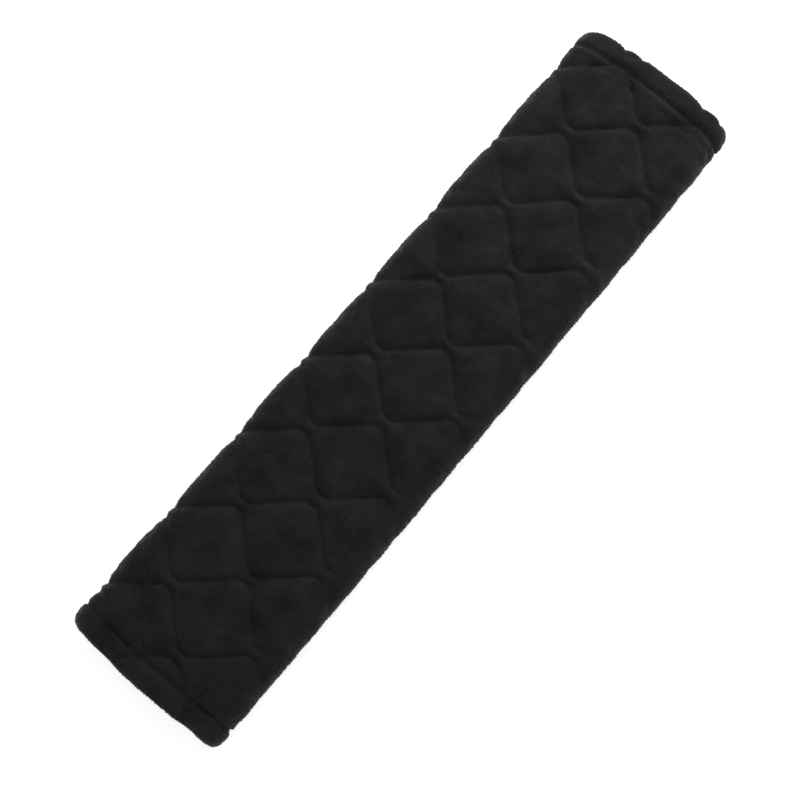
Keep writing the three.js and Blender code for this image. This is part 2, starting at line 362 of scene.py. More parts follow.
@dataclass(frozen=True)
class Quilting:
    """The wavy stitch lines: flat peaks joined by straight slopes, each line the mirror of its neighbours."""

    line_spacing: float = 17.19
    neck_pitch: float = 18.1
    neck_width: float = 4.0
    neck_length: float = 3.9
    start_x: float = -19.92
    start_v: float = 4.7
    skew: float = 0.0068
    sway: float = 0.35
    sway_length: float = 280.0
    corner_softness: float = 1.0
    corner_samples: int = 7
    wander: float = 0.25
    wander_waves: tuple[tuple[float, float, float], ...] = ((1.0, 0.11, 2.4), (0.6, 0.31, 5.1))
    search_reach: float = 7.0
    search_places: int = 29

    @property
    def amplitude(self) -> float:
        """How far a line swings from its middle."""
        return (self.line_spacing - self.neck_width) / 2

    def _sharp_wave(self, v: np.ndarray) -> np.ndarray:
        """The wave with sharp corners: 1 at even necks, -1 at odd ones, straight between their flats.

        Args:
            v: Places across the cloth.

        Returns:
            The wave's values.
        """
        steps = (v - self.start_v) / self.neck_pitch
        nearest = np.round(steps)
        side = np.where(nearest % 2 == 0, 1.0, -1.0)
        past = np.maximum(np.abs(steps - nearest) * self.neck_pitch - self.neck_length / 2, 0.0)
        return side * (1.0 - 2.0 * past / (self.neck_pitch - self.neck_length))

    def wave(self, v: np.ndarray) -> np.ndarray:
        """The wave with its corners rounded, as the mean over a short stretch of cloth."""
        offsets = np.linspace(-1.0, 1.0, self.corner_samples) * self.corner_softness
        return sum(self._sharp_wave(v + o) for o in offsets) / len(offsets)

    def line_x(self, k: np.ndarray, v: np.ndarray) -> np.ndarray:
        """X of a stitch line, with the machine's small wander as a sum of slow sines.

        Args:
            k: The line's number.
            v: Places across the cloth.

        Returns:
            The places along the pad.
        """
        side = np.where(k % 2 == 0, 1.0, -1.0)
        waves = (share * np.sin(v * rate + k * turn) for share, rate, turn in self.wander_waves)
        drift = self.wander * sum(waves)
        return self.start_x + (k + 0.5) * self.line_spacing - side * self.amplitude * self.wave(v) + drift

    def sewn_v(self, x: np.ndarray, v: np.ndarray) -> np.ndarray:
        """The place across the cloth in the stitching's own frame, which runs a little askew and bowed."""
        return v - self.skew * x - self.sway * np.cos(math.pi * x / self.sway_length)

    def line_points(self, k: np.ndarray, v: np.ndarray) -> np.ndarray:
        """X of a stitch line where it passes v on the cloth, settled in three steps.

        Args:
            k: The line's number.
            v: Places across the cloth.

        Returns:
            The places along the pad.
        """
        x = self.line_x(k, v)
        for _ in range(3):
            x = self.line_x(k, self.sewn_v(x, v))
        return x

    def neck_distance(self, x: np.ndarray, v: np.ndarray) -> np.ndarray:
        """Distance to the middle of the nearest neck, where two stitch lines come close.

        The necks lie on a lattice, every second crossing of its rows and columns, so the nearest one is
        found on the lattice's diagonals.

        Args:
            x: Places along the flat cloth.
            v: Places across it.

        Returns:
            The distances.
        """
        a = (x - self.start_x) / self.line_spacing
        b = (self.sewn_v(x, v) - self.start_v) / self.neck_pitch
        p, q = np.round((a + b) / 2), np.round((a - b) / 2)
        return np.hypot((a - p - q) * self.line_spacing, (b - p + q) * self.neck_pitch)

    def distance(self, x: np.ndarray, v: np.ndarray) -> np.ndarray:
        """Distance on the flat cloth to the nearest stitch line.

        It is the least distance to points of the three nearest lines, taken up to the search's reach along
        each.

        Args:
            x: Places along the flat cloth.
            v: Places across it.

        Returns:
            The distances.
        """
        v = self.sewn_v(x, v)
        middle = np.round((x - self.start_x) / self.line_spacing - 0.5)
        best = np.full(np.broadcast(x, v).shape, np.inf)
        for k in (middle - 1, middle, middle + 1):
            for dv in np.linspace(-self.search_reach, self.search_reach, self.search_places):
                gap = x - self.line_x(k, v + dv)
                best = np.minimum(best, gap * gap + dv * dv)
        return np.sqrt(best)


class SoftNoise:
    """Smooth seeded noise on the flat cloth, from random values on a lattice with eased blending between."""

    lattice: int = 256
    shift: float = 1000.0

    def __init__(self, seed: int, cell: float) -> None:
        """Draws the lattice from a random seed, with its pitch in millimetres."""
        self.cell = cell
        self.values = np.random.default_rng(seed).uniform(-1.0, 1.0, (self.lattice, self.lattice))

    def __call__(self, x: np.ndarray, v: np.ndarray) -> np.ndarray:
        """Reads the noise.

        Args:
            x: Places along the cloth.
            v: Places across it.

        Returns:
            Values between -1 and 1.
        """
        a, b = x / self.cell + self.shift, v / self.cell + self.shift
        i, j = np.floor(a).astype(int), np.floor(b).astype(int)
        fa, fb = smoothstep(a - i, 0.0, 1.0), smoothstep(b - j, 0.0, 1.0)
        i, j, i1, j1 = (n % self.lattice for n in (i, j, i + 1, j + 1))
        low = mix(self.values[i, j], self.values[i1, j], fa)
        high = mix(self.values[i, j1], self.values[i1, j1], fa)
        return mix(low, high, fb)


@dataclass
class Grid:
    """A face of the cloth on a grid: rows along the pad and columns across the cloth."""

    points: np.ndarray
    lay: np.ndarray
    v: np.ndarray

    @property
    def shape(self) -> tuple[int, int]:
        """Numbers of rows and columns."""
        return self.points.shape[:2]

    def normals(self) -> np.ndarray:
        """Unit normals on the plush side: the step across crossed with the step along."""
        return unit(np.cross(np.gradient(self.points, axis=1), np.gradient(self.points, axis=0)))

    def quads(self, start: int = 0, plush_side: bool = True) -> np.ndarray:
        """Quads of the grid.

        Args:
            start: The number of the grid's first vertex.
            plush_side: Whether they face the plush side, or else the belt.

        Returns:
            Four vertex numbers for each quad.
        """
        rows, cols = self.shape
        a = start + (np.arange(rows - 1)[:, None] * cols + np.arange(cols - 1)[None, :]).ravel()
        quads = np.stack([a, a + 1, a + cols + 1, a + cols], axis=1)
        return quads if plush_side else quads[:, ::-1]

    def border(self, start: int = 0) -> tuple[np.ndarray, np.ndarray]:
        """Goes once round the border.

        Args:
            start: The number of the grid's first vertex.

        Returns:
            The vertex numbers, and their places on a loop from 0 to 4.
        """
        rows, cols = self.shape
        number = start + np.arange(rows * cols).reshape(rows, cols)
        r = np.linspace(0.0, 1.0, rows)
        c = np.linspace(0.0, 1.0, cols)
        ring = [number[:-1, 0], number[-1, :-1], number[:0:-1, -1], number[0, :0:-1], number[:1, 0]]
        places = [r[:-1], 1 + c[:-1], 3 - r[:0:-1], 4 - c[:0:-1], [4.0]]
        return np.concatenate(ring), np.concatenate(places)


@dataclass
class Stations:
    """Stations along the whole cloth, from one hem's raw edge over the front to the other's.

    Each array has rows along the pad and columns across. They hold the lining's x and height, the direction
    of the plush side, the laminate's thickness, the place on the flat cloth and the distance to the quilting.
    """

    x: np.ndarray
    h: np.ndarray
    nx: np.ndarray
    nh: np.ndarray
    thickness: np.ndarray
    lay: np.ndarray
    v: np.ndarray
    distance: np.ndarray


class Laminate:
    """The sewn laminate, as stations along the pad with a thickness at each place across the cloth."""

    def __init__(self, sizes: PadSizes, quilting: Quilting) -> None:
        """Keeps the sizes and folds the section.

        Args:
            sizes: The pad's sizes.
            quilting: The stitch lines.
        """
        self.sizes = sizes
        self.quilting = quilting
        self.section = Section(sizes)
        ends = self.section.ends
        self.inner_flap_end, self.first_fold_start = ends[0], ends[1]
        self.step_start, self.step_end = ends[6], ends[7]

    def flatness(self, v: np.ndarray) -> np.ndarray:
        """1 on the flaps, which are sewn flat for the tapes, and 0 where the pad is full."""
        inner = 1.0 - smoothstep(v, self.inner_flap_end, self.first_fold_start)
        return np.maximum(inner, smoothstep(v, self.step_start, self.step_end))

    def flap_thickness(self, v: np.ndarray) -> np.ndarray:
        """Thickness of the inner flap where v is negative, and of the outer flap with its thinned edge.

        Args:
            v: Places across the cloth.

        Returns:
            The thicknesses.
        """
        s = self.sizes
        outer = mix(s.flap_edge, s.outer_flap, smoothstep(self.section.last - v, 0.0, s.flap_edge_reach))
        return np.where(v < 0, s.inner_flap, outer)

    def rolled(self, v: np.ndarray) -> np.ndarray:
        """Thickness of one of the two laminates in a hem."""
        s = self.sizes
        return mix(s.hem_laminate, np.where(v < 0, s.inner_flap_hem, s.thinnest), self.flatness(v))

    def hem_thickness(self, inset: np.ndarray, v: np.ndarray) -> np.ndarray:
        """Laminate thickness within a hem, pinched at its stitching.

        Args:
            inset: Distances from the pad's end.
            v: Places across the cloth.

        Returns:
            The thicknesses.
        """
        s = self.sizes
        rolled = self.rolled(v)
        outside = np.maximum(s.hem_stitch_inset - inset, 0.0) / s.hem_pinch_reach
        return mix(rolled, np.minimum(rolled, s.hem_pinch), bell(outside))

    def hem_lift(self, inset: np.ndarray, v: np.ndarray) -> np.ndarray:
        """Height of the outer laminate's lining where the turned-in hem lies under it.

        Args:
            inset: Distances from the pad's end.
            v: Places across the cloth.

        Returns:
            The heights above the passage wall.
        """
        s = self.sizes
        run_out = 1.0 - smoothstep(inset, s.hem_turn_in, s.hem_turn_in + s.hem_run_out)
        return (self.hem_thickness(inset, v) + 2 * s.hem_fold_radius) * run_out

    def hidden_depth(self, thickness: np.ndarray) -> np.ndarray:
        """Depth of the face between the plush and the wadding."""
        return self.sizes.hidden_share * np.minimum(thickness, self.sizes.stitched)

    def relief(self, v: np.ndarray) -> np.ndarray:
        """Share of the quilting's depth left where the cloth is drawn tight round the side folds.

        Args:
            v: Places across the cloth.

        Returns:
            The shares: 1 less a bell curve at each fold.
        """
        s = self.sizes
        left = np.where(v < 0, s.rear_fold_relief, s.front_fold_relief)
        return 1.0 - (1.0 - left) * bell((np.abs(v) - self.section.outermost) / s.fold_relief_reach)

    def fullness(self, distance: np.ndarray, reach: float) -> np.ndarray:
        """How full the cloth stands at a distance from a stitch line: 0 on it and 1 from the reach on."""
        slack = 1.0 - np.clip(distance / reach, 0.0, 1.0)
        return (1.0 - slack * slack) ** self.sizes.crown_sharpness

    def top_thickness(
        self, x: np.ndarray, v: np.ndarray, distance: np.ndarray
    ) -> tuple[np.ndarray, np.ndarray]:
        """The laminate that shows on top, from end to end.

        Between the hems its height rises from the stitched thickness to the crown, and falls to the pinch
        at a hem's stitching. Within a hem it is the roll's thickness.

        Args:
            x: Places along the pad.
            v: Places across the cloth.
            distance: Distances to the quilting.

        Returns:
            The lining's lift above the passage wall, and the laminate's thickness.
        """
        s = self.sizes
        inset = s.half - np.abs(x)
        lift = self.hem_lift(inset, v)
        crown = s.crown - lift
        sunk = mix(crown, np.maximum(s.stitched - lift, s.least_sewn), self.relief(v))
        quilted = mix(sunk, crown, self.fullness(distance, s.crown_reach))
        padded = mix(s.hem_pinch, quilted, self.fullness(inset - s.hem_stitch_inset, s.hem_crown_reach))
        flat = np.maximum(self.rolled(v), self.flap_thickness(v) - lift)
        body = mix(padded, flat, self.flatness(v))
        return lift, np.where(inset < s.hem_stitch_inset, self.hem_thickness(inset, v), body)

    def _hem_rows(self, end: float, turns: int, unders: int, v: np.ndarray) -> list[np.ndarray]:
        """Stations of one hem, from its raw edge below and round the end's fold.

        Args:
            end: -1 at the near end and 1 at the far one.
            turns: Number of steps round the fold.
            unders: Number of steps along the turned-in hem.
            v: Places across the cloth, as one row.

        Returns:
            The first six arrays of the stations, in the order along the pad.
        """
        s = self.sizes
        rolled = self.rolled(v)
        centre = rolled + s.hem_fold_radius
        reach = s.half - centre
        neutral = s.hem_fold_radius + rolled / 2
        inset = mix(s.hem_turn_in, centre, np.linspace(0.0, 1.0, unders, endpoint=False)[:, None])
        thickness = self.hem_thickness(inset, v)
        lay = end * (reach + math.pi * neutral + inset - centre)
        under = [end * (s.half - inset), thickness, 0.0 * inset, -1.0 + 0.0 * inset, thickness, lay]
        angle = np.linspace(-0.5, 0.5, turns + 1)[:, None] * math.pi
        nx, nh = end * np.cos(angle) + 0.0 * v, np.sin(angle) + 0.0 * v
        x = end * reach + nx * s.hem_fold_radius
        lay = end * (reach + neutral * (math.pi / 2 - angle))
        fold = [x, centre + nh * s.hem_fold_radius, nx, nh, rolled + 0.0 * x, lay]
        rows = [np.concatenate(pair) for pair in zip(under, fold)]
        return rows if end < 0 else [row[::-1] for row in rows]

    def stations(self, tops: int, turns: int, unders: int, v: np.ndarray) -> Stations:
        """Stations along the whole cloth.

        Args:
            tops: Number of rows along the top, with both its ends.
            turns: Number of steps round each end's fold.
            unders: Number of steps along each turned-in hem.
            v: Places across the cloth.

        Returns:
            The stations.
        """
        v = v[None, :]
        reach = self.sizes.half - (self.rolled(v) + self.sizes.hem_fold_radius)
        x = mix(-reach, reach, np.linspace(0.0, 1.0, tops)[1:-1, None])
        lift, thickness = self.top_thickness(x, v, self.quilting.distance(x, v))
        top = [x, lift, 0.0 * x, 1.0 + 0.0 * x, thickness, x]
        near, far = (self._hem_rows(end, turns, unders, v) for end in (-1.0, 1.0))
        found = [np.concatenate(rows) for rows in zip(near, top, far)]
        lay = found[-1]
        across = np.broadcast_to(v, lay.shape)
        return Stations(*found, across, self.quilting.distance(lay, across))

    def place(self, found: Stations, depth: np.ndarray) -> Grid:
        """Puts a face at a depth from the lining's belt side.

        Args:
            found: The stations.
            depth: Depths, in millimetres.

        Returns:
            The face's grid, in metres.
        """
        x = found.x + found.nx * depth
        h = found.h + found.nh * depth
        return Grid(self.section.fold(x, found.v, h - self.sizes.neutral_depth), found.lay, found.v)


def strip_between(outer: tuple[np.ndarray, np.ndarray], inner: tuple[np.ndarray, np.ndarray]) -> np.ndarray:
    """Triangles of the cut edge between two borders that run the same way round.

    Each border edge becomes a triangle whose third corner is the other border's point reached by then.

    Args:
        outer: Point numbers and places of the plush side's border.
        inner: The same of the belt side's border.

    Returns:
        The triangles.
    """
    (a, pa), (b, pb) = outer, inner
    j = np.searchsorted(pb[1:], pa[1:], side="left")
    i = np.searchsorted(pa[1:], pb[1:], side="right")
    first = np.stack([a[1:], a[:-1], b[j]], axis=1)
    second = np.stack([b[:-1], b[1:], a[i]], axis=1)
    return np.concatenate([first, second])


def add_mesh(name: str, points: np.ndarray, faces: list[np.ndarray]) -> bpy.types.Object:
    """Makes a smooth-shaded mesh object at the origin from arrays.

    Args:
        name: The piece's name.
        points: Vertices, in metres.
        faces: Arrays of faces, each with as many columns as its faces have corners.

    Returns:
        The object.
    """
    corners = np.concatenate([f.ravel() for f in faces]).astype(np.int32)
    totals = np.concatenate([np.full(len(f), f.shape[1]) for f in faces]).astype(np.int32)
    starts = np.concatenate([[0], np.cumsum(totals)[:-1]]).astype(np.int32)
    mesh = bpy.data.meshes.new(name)
    mesh.vertices.add(len(points))
    mesh.vertices.foreach_set("co", np.ascontiguousarray(points, np.float32).ravel())
    mesh.loops.add(len(corners))
    mesh.loops.foreach_set("vertex_index", corners)
    mesh.polygons.add(len(totals))
    mesh.polygons.foreach_set("loop_start", starts)
    mesh.polygons.foreach_set("loop_total", totals)
    mesh.polygons.foreach_set("use_smooth", np.full(len(totals), True))
    mesh.update(calc_edges=True)
    mesh.validate()
    piece = bpy.data.objects.new(name, mesh)
    bpy.context.scene.collection.objects.link(piece)
    return piece


def add_map(piece: bpy.types.Object, per_vertex: np.ndarray) -> None:
    """Gives the piece a UV map for baking.

    Args:
        piece: The piece.
        per_vertex: One place on the map for each vertex.
    """
    mesh = piece.data
    corners = np.empty(len(mesh.loops), np.int32)
    mesh.loops.foreach_get("vertex_index", corners)
    layer = mesh.uv_layers.new(name=BAKE_MAP)
    layer.data.foreach_set("uv", np.ascontiguousarray(per_vertex[corners], np.float32).ravel())


class Shader:
    """A procedural material under construction: a Principled shader with helpers for its node tree."""

    def __init__(self, name: str) -> None:
        """Starts the material.

        Args:
            name: The material's name.
        """
        self.material = bpy.data.materials.new(name)
        self.material.use_nodes = True
        self.tree = self.material.node_tree
        self.shader = self.tree.nodes["Principled BSDF"]

    def node(self, kind: str, **settings: object) -> bpy.types.Node:
        """Adds a node.

        Args:
            kind: The node's type.
            settings: Values for its inputs by name, or for its properties where it has no such input.

        Returns:
            The node.
        """
        made = self.tree.nodes.new(kind)
        for key, value in settings.items():
            name = key.replace("_", " ").title()
            if name in made.inputs:
                made.inputs[name].default_value = value
            else:
                setattr(made, key, value)
        return made

    def link(self, source: bpy.types.NodeSocket, target: bpy.types.NodeSocket) -> None:
        """Joins two sockets."""
        self.tree.links.new(source, target)

    def noise(self, scale: float, detail: float, stretch: tuple = (1.0, 1.0, 1.0)) -> bpy.types.NodeSocket:
        """Noise on Object coordinates.

        Args:
            scale: One over its pitch in metres.
            detail: How many finer octaves it has.
            stretch: Its scale along each axis.

        Returns:
            Its value's socket.
        """
        place = self.node("ShaderNodeTexCoord")
        turn = self.node("ShaderNodeMapping", scale=stretch)
        grain = self.node("ShaderNodeTexNoise", scale=scale, detail=detail)
        self.link(place.outputs["Object"], turn.inputs["Vector"])
        self.link(turn.outputs["Vector"], grain.inputs["Vector"])
        return grain.outputs["Fac"]

    def colour(
        self, source: bpy.types.NodeSocket, low: float, dark: tuple, high: float, light: tuple
    ) -> None:
        """Colours the surface by a value.

        Args:
            source: The value's socket.
            low: Up to this value the colour is dark.
            dark: The dark colour.
            high: From this value on it is light.
            light: The light colour.
        """
        ramp = self.node("ShaderNodeValToRGB")
        for element, at, colour in zip(ramp.color_ramp.elements, (low, high), (dark, light)):
            element.position = at
            element.color = (*colour, 1.0)
        self.link(source, ramp.inputs["Fac"])
        self.link(ramp.outputs["Color"], self.shader.inputs["Base Color"])

    def bump(self, source: bpy.types.NodeSocket, height: float, strength: float) -> None:
        """Turns a value into the surface's bump.

        Args:
            source: The value's socket.
            height: The bump's height in metres.
            strength: Its strength, from 0 to 1.
        """
        bump = self.node("ShaderNodeBump", distance=height, strength=strength)
        self.link(source, bump.inputs["Height"])
        self.link(bump.outputs["Normal"], self.shader.inputs["Normal"])

    def set(self, **values: object) -> None:
        """Sets values on the shader's own sockets."""
        for key, value in values.items():
            self.shader.inputs[key.replace("_", " ").title().replace("Ior", "IOR")].default_value = value


def seen_rays(tree: bpy.types.NodeTree) -> bpy.types.NodeSocket:
    """A value that is 1 for the rays that show a thing, by eye, gloss or glass, and 0 for those that light.

    Args:
        tree: The node tree that needs it.

    Returns:
        The value's socket.
    """
    path = tree.nodes.new("ShaderNodeLightPath")
    seen = path.outputs["Is Camera Ray"]
    for ray in ("Is Glossy Ray", "Is Transmission Ray"):
        either = tree.nodes.new("ShaderNodeMath")
        either.operation = "MAXIMUM"
        tree.links.new(seen, either.inputs[0])
        tree.links.new(path.outputs[ray], either.inputs[1])
        seen = either.outputs[0]
    return seen


def dyed(level: float) -> tuple[float, float, float]:
    """The black dye's colour at a level: a touch of green in it."""
    return 0.965 * level, level, 0.985 * level


@dataclass(frozen=True)
class NapFinish:
    """Short black pile, matt.

    Its colour follows the sum of two noises. The fine one is tone that differs at random from tuft to tuft.
    The broad one paints patches of shade and sheen into the colour, standing for nap brushed one way in some
    patches and another in the rest.
    """

    name: str
    dark: float
    light: float
    dark_up_to: float
    grain: float
    grain_detail: float
    grain_share: float
    specular: float
    sheen: float
    sheen_roughness: float
    bump: float = 0.0
    # Pitch and detail of the broad noise that paints the nap's shade and sheen.
    painted_nap_scale: float = 95.0
    painted_nap_detail: float = 3.0
    bump_scale: float = 1500.0
    bump_detail: float = 2.0
    bump_height: float = 0.0006

    def make(self) -> bpy.types.Material:
        """Builds the material.

        Returns:
            The material.
        """
        s = Shader(self.name)
        both = s.node("ShaderNodeMath", operation="MULTIPLY_ADD")
        both.inputs[1].default_value = self.grain_share
        s.link(s.noise(self.grain, self.grain_detail), both.inputs[0])
        # The broad noise adds painted shade and sheen patches to the colour.
        s.link(s.noise(self.painted_nap_scale, self.painted_nap_detail), both.inputs[2])
        s.colour(both.outputs[0], self.dark_up_to, dyed(self.dark), 1.0, dyed(self.light))
        if self.bump > 0.0:
            s.bump(s.noise(self.bump_scale, self.bump_detail), self.bump_height, self.bump)
        s.set(
            roughness=1.0,
            specular_ior_level=self.specular,
            sheen_weight=self.sheen,
            sheen_roughness=self.sheen_roughness,
        )
        return s.material


@dataclass(frozen=True)
class FibreFinish:
    """Spun, woven or carded fibres, from one stretched noise in both colour and bump."""

    name: str
    colour: tuple[float, float, float]
    grain: float
    detail: float
    stretch: tuple[float, float, float]
    bump_height: float
    bump: float
    roughness: float
    specular: float
    sheen: float = 0.0
    sheen_roughness: float = 0.5
    dark_share: float = 0.7
    light_share: float = 1.4
    dark_up_to: float = 0.3
    light_from: float = 0.7

    def make(self) -> bpy.types.Material:
        """Builds the material.

        Returns:
            The material.
        """
        s = Shader(self.name)
        fibres = s.noise(self.grain, self.detail, self.stretch)
        dark = tuple(self.dark_share * c for c in self.colour)
        light = tuple(self.light_share * c for c in self.colour)
        s.colour(fibres, self.dark_up_to, dark, self.light_from, light)
        s.bump(fibres, self.bump_height, self.bump)
        s.set(
            roughness=self.roughness,
            specular_ior_level=self.specular,
            sheen_weight=self.sheen,
            sheen_roughness=self.sheen_roughness,
        )
        return s.material


def cloth_finish(name: str, level: float, stretch: tuple[float, float, float], grain: float) -> FibreFinish:
    """A plain black woven or knitted cloth with fine ribs.

    Args:
        name: The material's name.
        level: Its mean level of grey.
        stretch: The ribs' scale along each axis.
        grain: The noise's scale.

    Returns:
        The finish.
    """
    return FibreFinish(
        name=name,
        colour=(level,) * 3,
        grain=grain,
        detail=2.0,
        stretch=stretch,
        bump_height=0.0003,
        bump=0.6,
        roughness=0.85,
        specular=0.25,
        sheen=0.2,
        sheen_roughness=0.4,
    )


PLUSH_GROUND = NapFinish(
    name="plush",
    dark=0.005,
    light=0.0105,
    dark_up_to=0.5,
    grain=2600.0,
    grain_detail=1.0,
    grain_share=0.45,
    specular=0.1,
    sheen=0.15,
    sheen_roughness=0.4,
    bump=0.7,
)
PILE_TIPS = NapFinish(
    name="pile_tips",
    dark=0.0038,
    light=0.0208,
    dark_up_to=0.65,
    grain=1500.0,
    grain_detail=0.0,
    grain_share=0.75,
    specular=0.05,
    sheen=0.02,
    sheen_roughness=0.5,
)
LINING_CLOTH = cloth_finish("lining", level=0.014, stretch=(1.0, 3.0, 1.0), grain=2400.0)
WADDING_FIBRE = FibreFinish(
    name="wadding",
    colour=(0.72, 0.71, 0.68),
    grain=900.0,
    detail=5.0,
    stretch=(1.0, 4.0, 2.0),
    bump_height=0.0006,
    bump=0.8,
    roughness=1.0,
    specular=0.1,
    dark_share=0.75,
    light_share=1.0,
)
BLACK_THREAD = FibreFinish(
    name="thread",
    colour=(0.012,) * 3,
    grain=5200.0,
    detail=1.0,
    stretch=(1.0, 1.0, 1.0),
    bump_height=0.0001,
    bump=0.5,
    roughness=0.55,
    specular=0.35,
    sheen=0.15,
    light_share=1.5,
)


def dress(piece: bpy.types.Object, material: bpy.types.Material) -> bpy.types.Object:
    """Gives the piece its material and lets it ride on the pad's one body.

    Args:
        piece: The piece.
        material: Its material.

    Returns:
        The piece.
    """
    piece.data.materials.append(material)
    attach(piece, BODY)
    log.info("%s: %d faces", piece.name, len(piece.data.polygons))
    return piece


def layer_piece(name: str, outer: Grid, inner: Grid) -> bpy.types.Object:
    """Makes one closed layer of the laminate from its plush-side and belt-side faces.

    Args:
        name: The piece's name.
        outer: The face on the plush side.
        inner: The face on the belt side.

    Returns:
        The piece, with a bake map that lays the two faces side by side.
    """
    start = outer.points.shape[0] * outer.points.shape[1]
    points = np.concatenate([outer.points.reshape(-1, 3), inner.points.reshape(-1, 3)])
    quads = np.concatenate([outer.quads(), inner.quads(start, plush_side=False)])
    piece = add_mesh(name, points, [quads, strip_between(outer.border(), inner.border(start))])
    flat = []
    for grid, (left, breadth) in ((outer, OUTER_SPAN), (inner, INNER_SPAN)):
        rows, cols = grid.shape
        u = left + breadth * np.linspace(0.0, 1.0, cols)[None, :] + np.zeros((rows, 1))
        w = HEIGHT_SPAN[0] + HEIGHT_SPAN[1] * np.linspace(0.0, 1.0, rows)[:, None] + np.zeros((1, cols))
        flat.append(np.stack([u, w], axis=-1).reshape(-1, 2))
    add_map(piece, np.concatenate(flat))
    return piece


@dataclass
class StuffedCloth:
    """How the cloth swells between its stitches: a cloth simulation with the wadding's push behind it.

    The sheet is held at the quilting, the hems and the flat flaps. It has a little more cloth than the way
    between the stitches, so it rises and puckers.
    """

    laminate: Laminate
    pitch: float = 2.3
    pressure: float = 4.0
    extra_cloth: float = 0.03
    last_frame: int = 20
    most: float = 0.6
    quality: int = 6
    vertex_mass: float = 0.00002
    stretch_stiffness: float = 0.6
    shear_stiffness: float = 0.2
    bending_stiffness: float = 0.00002
    stitch_hold: float = 1.5
    stitch_reach: float = 1.1
    flap_hold: tuple[float, float] = (0.2, 0.6)
    pin_levels: int = 10
    offsets: np.ndarray | None = None

    def _places(self) -> tuple[np.ndarray, np.ndarray]:
        """Places along and across the cloth at which the sheet has its vertices.

        Returns:
            The places along the pad, and those across the cloth.
        """
        s, section = self.laminate.sizes, self.laminate.section
        reach = s.half - s.hem_stitch_inset
        x = np.linspace(-reach, reach, int(2 * reach / self.pitch))
        v = np.linspace(section.first, section.last, int((section.last - section.first) / self.pitch))
        return x, v

    def _pin(self, sheet: bpy.types.Object, distance: np.ndarray, v: np.ndarray) -> str:
        """Holds the sheet at the quilting, on the flat flaps and all along its border.

        Args:
            sheet: The sheet.
            distance: Its vertices' distances to the quilting.
            v: Their places across the cloth.

        Returns:
            The name of the vertex group that holds it.
        """
        held = np.clip(self.stitch_hold - distance / self.stitch_reach, 0.0, 1.0)
        held = np.maximum(held, smoothstep(self.laminate.flatness(v), *self.flap_hold))
        held[[0, -1]] = 1.0
        held[:, [0, -1]] = 1.0
        group = sheet.vertex_groups.new(name="sewn")
        levels = np.round(held.ravel() * self.pin_levels).astype(int)
        for level in range(1, self.pin_levels + 1):
            group.add(np.nonzero(levels == level)[0].tolist(), level / self.pin_levels, "REPLACE")
        return group.name

    def _inflate(self, sheet: bpy.types.Object, pins: str) -> np.ndarray:
        """Runs the simulation.

        Args:
            sheet: The sheet.
            pins: Its group of held vertices.

        Returns:
            Its vertices at the last frame.
        """
        cloth = sheet.modifiers.new("cloth", "CLOTH")
        settings = cloth.settings
        settings.quality = self.quality
        settings.mass = self.vertex_mass
        settings.tension_stiffness = self.stretch_stiffness
        settings.compression_stiffness = self.stretch_stiffness
        settings.shear_stiffness = self.shear_stiffness
        settings.bending_stiffness = self.bending_stiffness
        settings.use_pressure = True
        settings.uniform_pressure_force = self.pressure
        settings.shrink_min = -self.extra_cloth
        settings.vertex_group_mass = pins
        settings.pin_stiffness = 1.0
        settings.effector_weights.gravity = 0.0
        cloth.collision_settings.use_collision = False
        cloth.point_cache.frame_end = self.last_frame
        scene = bpy.context.scene
        for frame_number in range(1, self.last_frame + 1):
            scene.frame_set(frame_number)
        swollen = sheet.evaluated_get(bpy.context.evaluated_depsgraph_get()).data
        found = np.empty(len(swollen.vertices) * 3, np.float32)
        swollen.vertices.foreach_get("co", found)
        scene.frame_set(1)
        return found

    def simulate(self) -> None:
        """Swells a sheet at the cloth's place and keeps how far each vertex moves, within the limit."""
        laminate = self.laminate
        xx, vv = np.meshgrid(*self._places(), indexing="ij")
        distance = laminate.quilting.distance(xx, vv)
        lift, thickness = laminate.top_thickness(xx, vv, distance)
        offset = lift + thickness - laminate.sizes.neutral_depth
        grid = Grid(laminate.section.fold(xx, vv, offset), xx, vv)
        sheet = add_mesh("swelling_sheet", grid.points.reshape(-1, 3), [grid.quads()])
        found = self._inflate(sheet, self._pin(sheet, distance, vv))
        bpy.data.objects.remove(sheet)
        moved = found.reshape(grid.points.shape) - grid.points
        size = np.linalg.norm(moved, axis=-1, keepdims=True)
        log.info("cloth swells by %.2f mm at most, %.2f mm on average", size.max() / MM, size.mean() / MM)
        limit = self.most * MM
        self.offsets = moved * limit * np.tanh(size / limit) / np.maximum(size, TINY)

    def move(self, x: np.ndarray, v: np.ndarray) -> np.ndarray:
        """Movement of the cloth, blended between the sheet's vertices.

        Args:
            x: Places along the pad.
            v: Places across the cloth.

        Returns:
            The movements, in metres.
        """
        xs, vs = self._places()
        a = np.clip((x - xs[0]) / (xs[1] - xs[0]), 0.0, len(xs) - LAST_CELL)
        b = np.clip((v - vs[0]) / (vs[1] - vs[0]), 0.0, len(vs) - LAST_CELL)
        return read_grid(self.offsets, a, b)


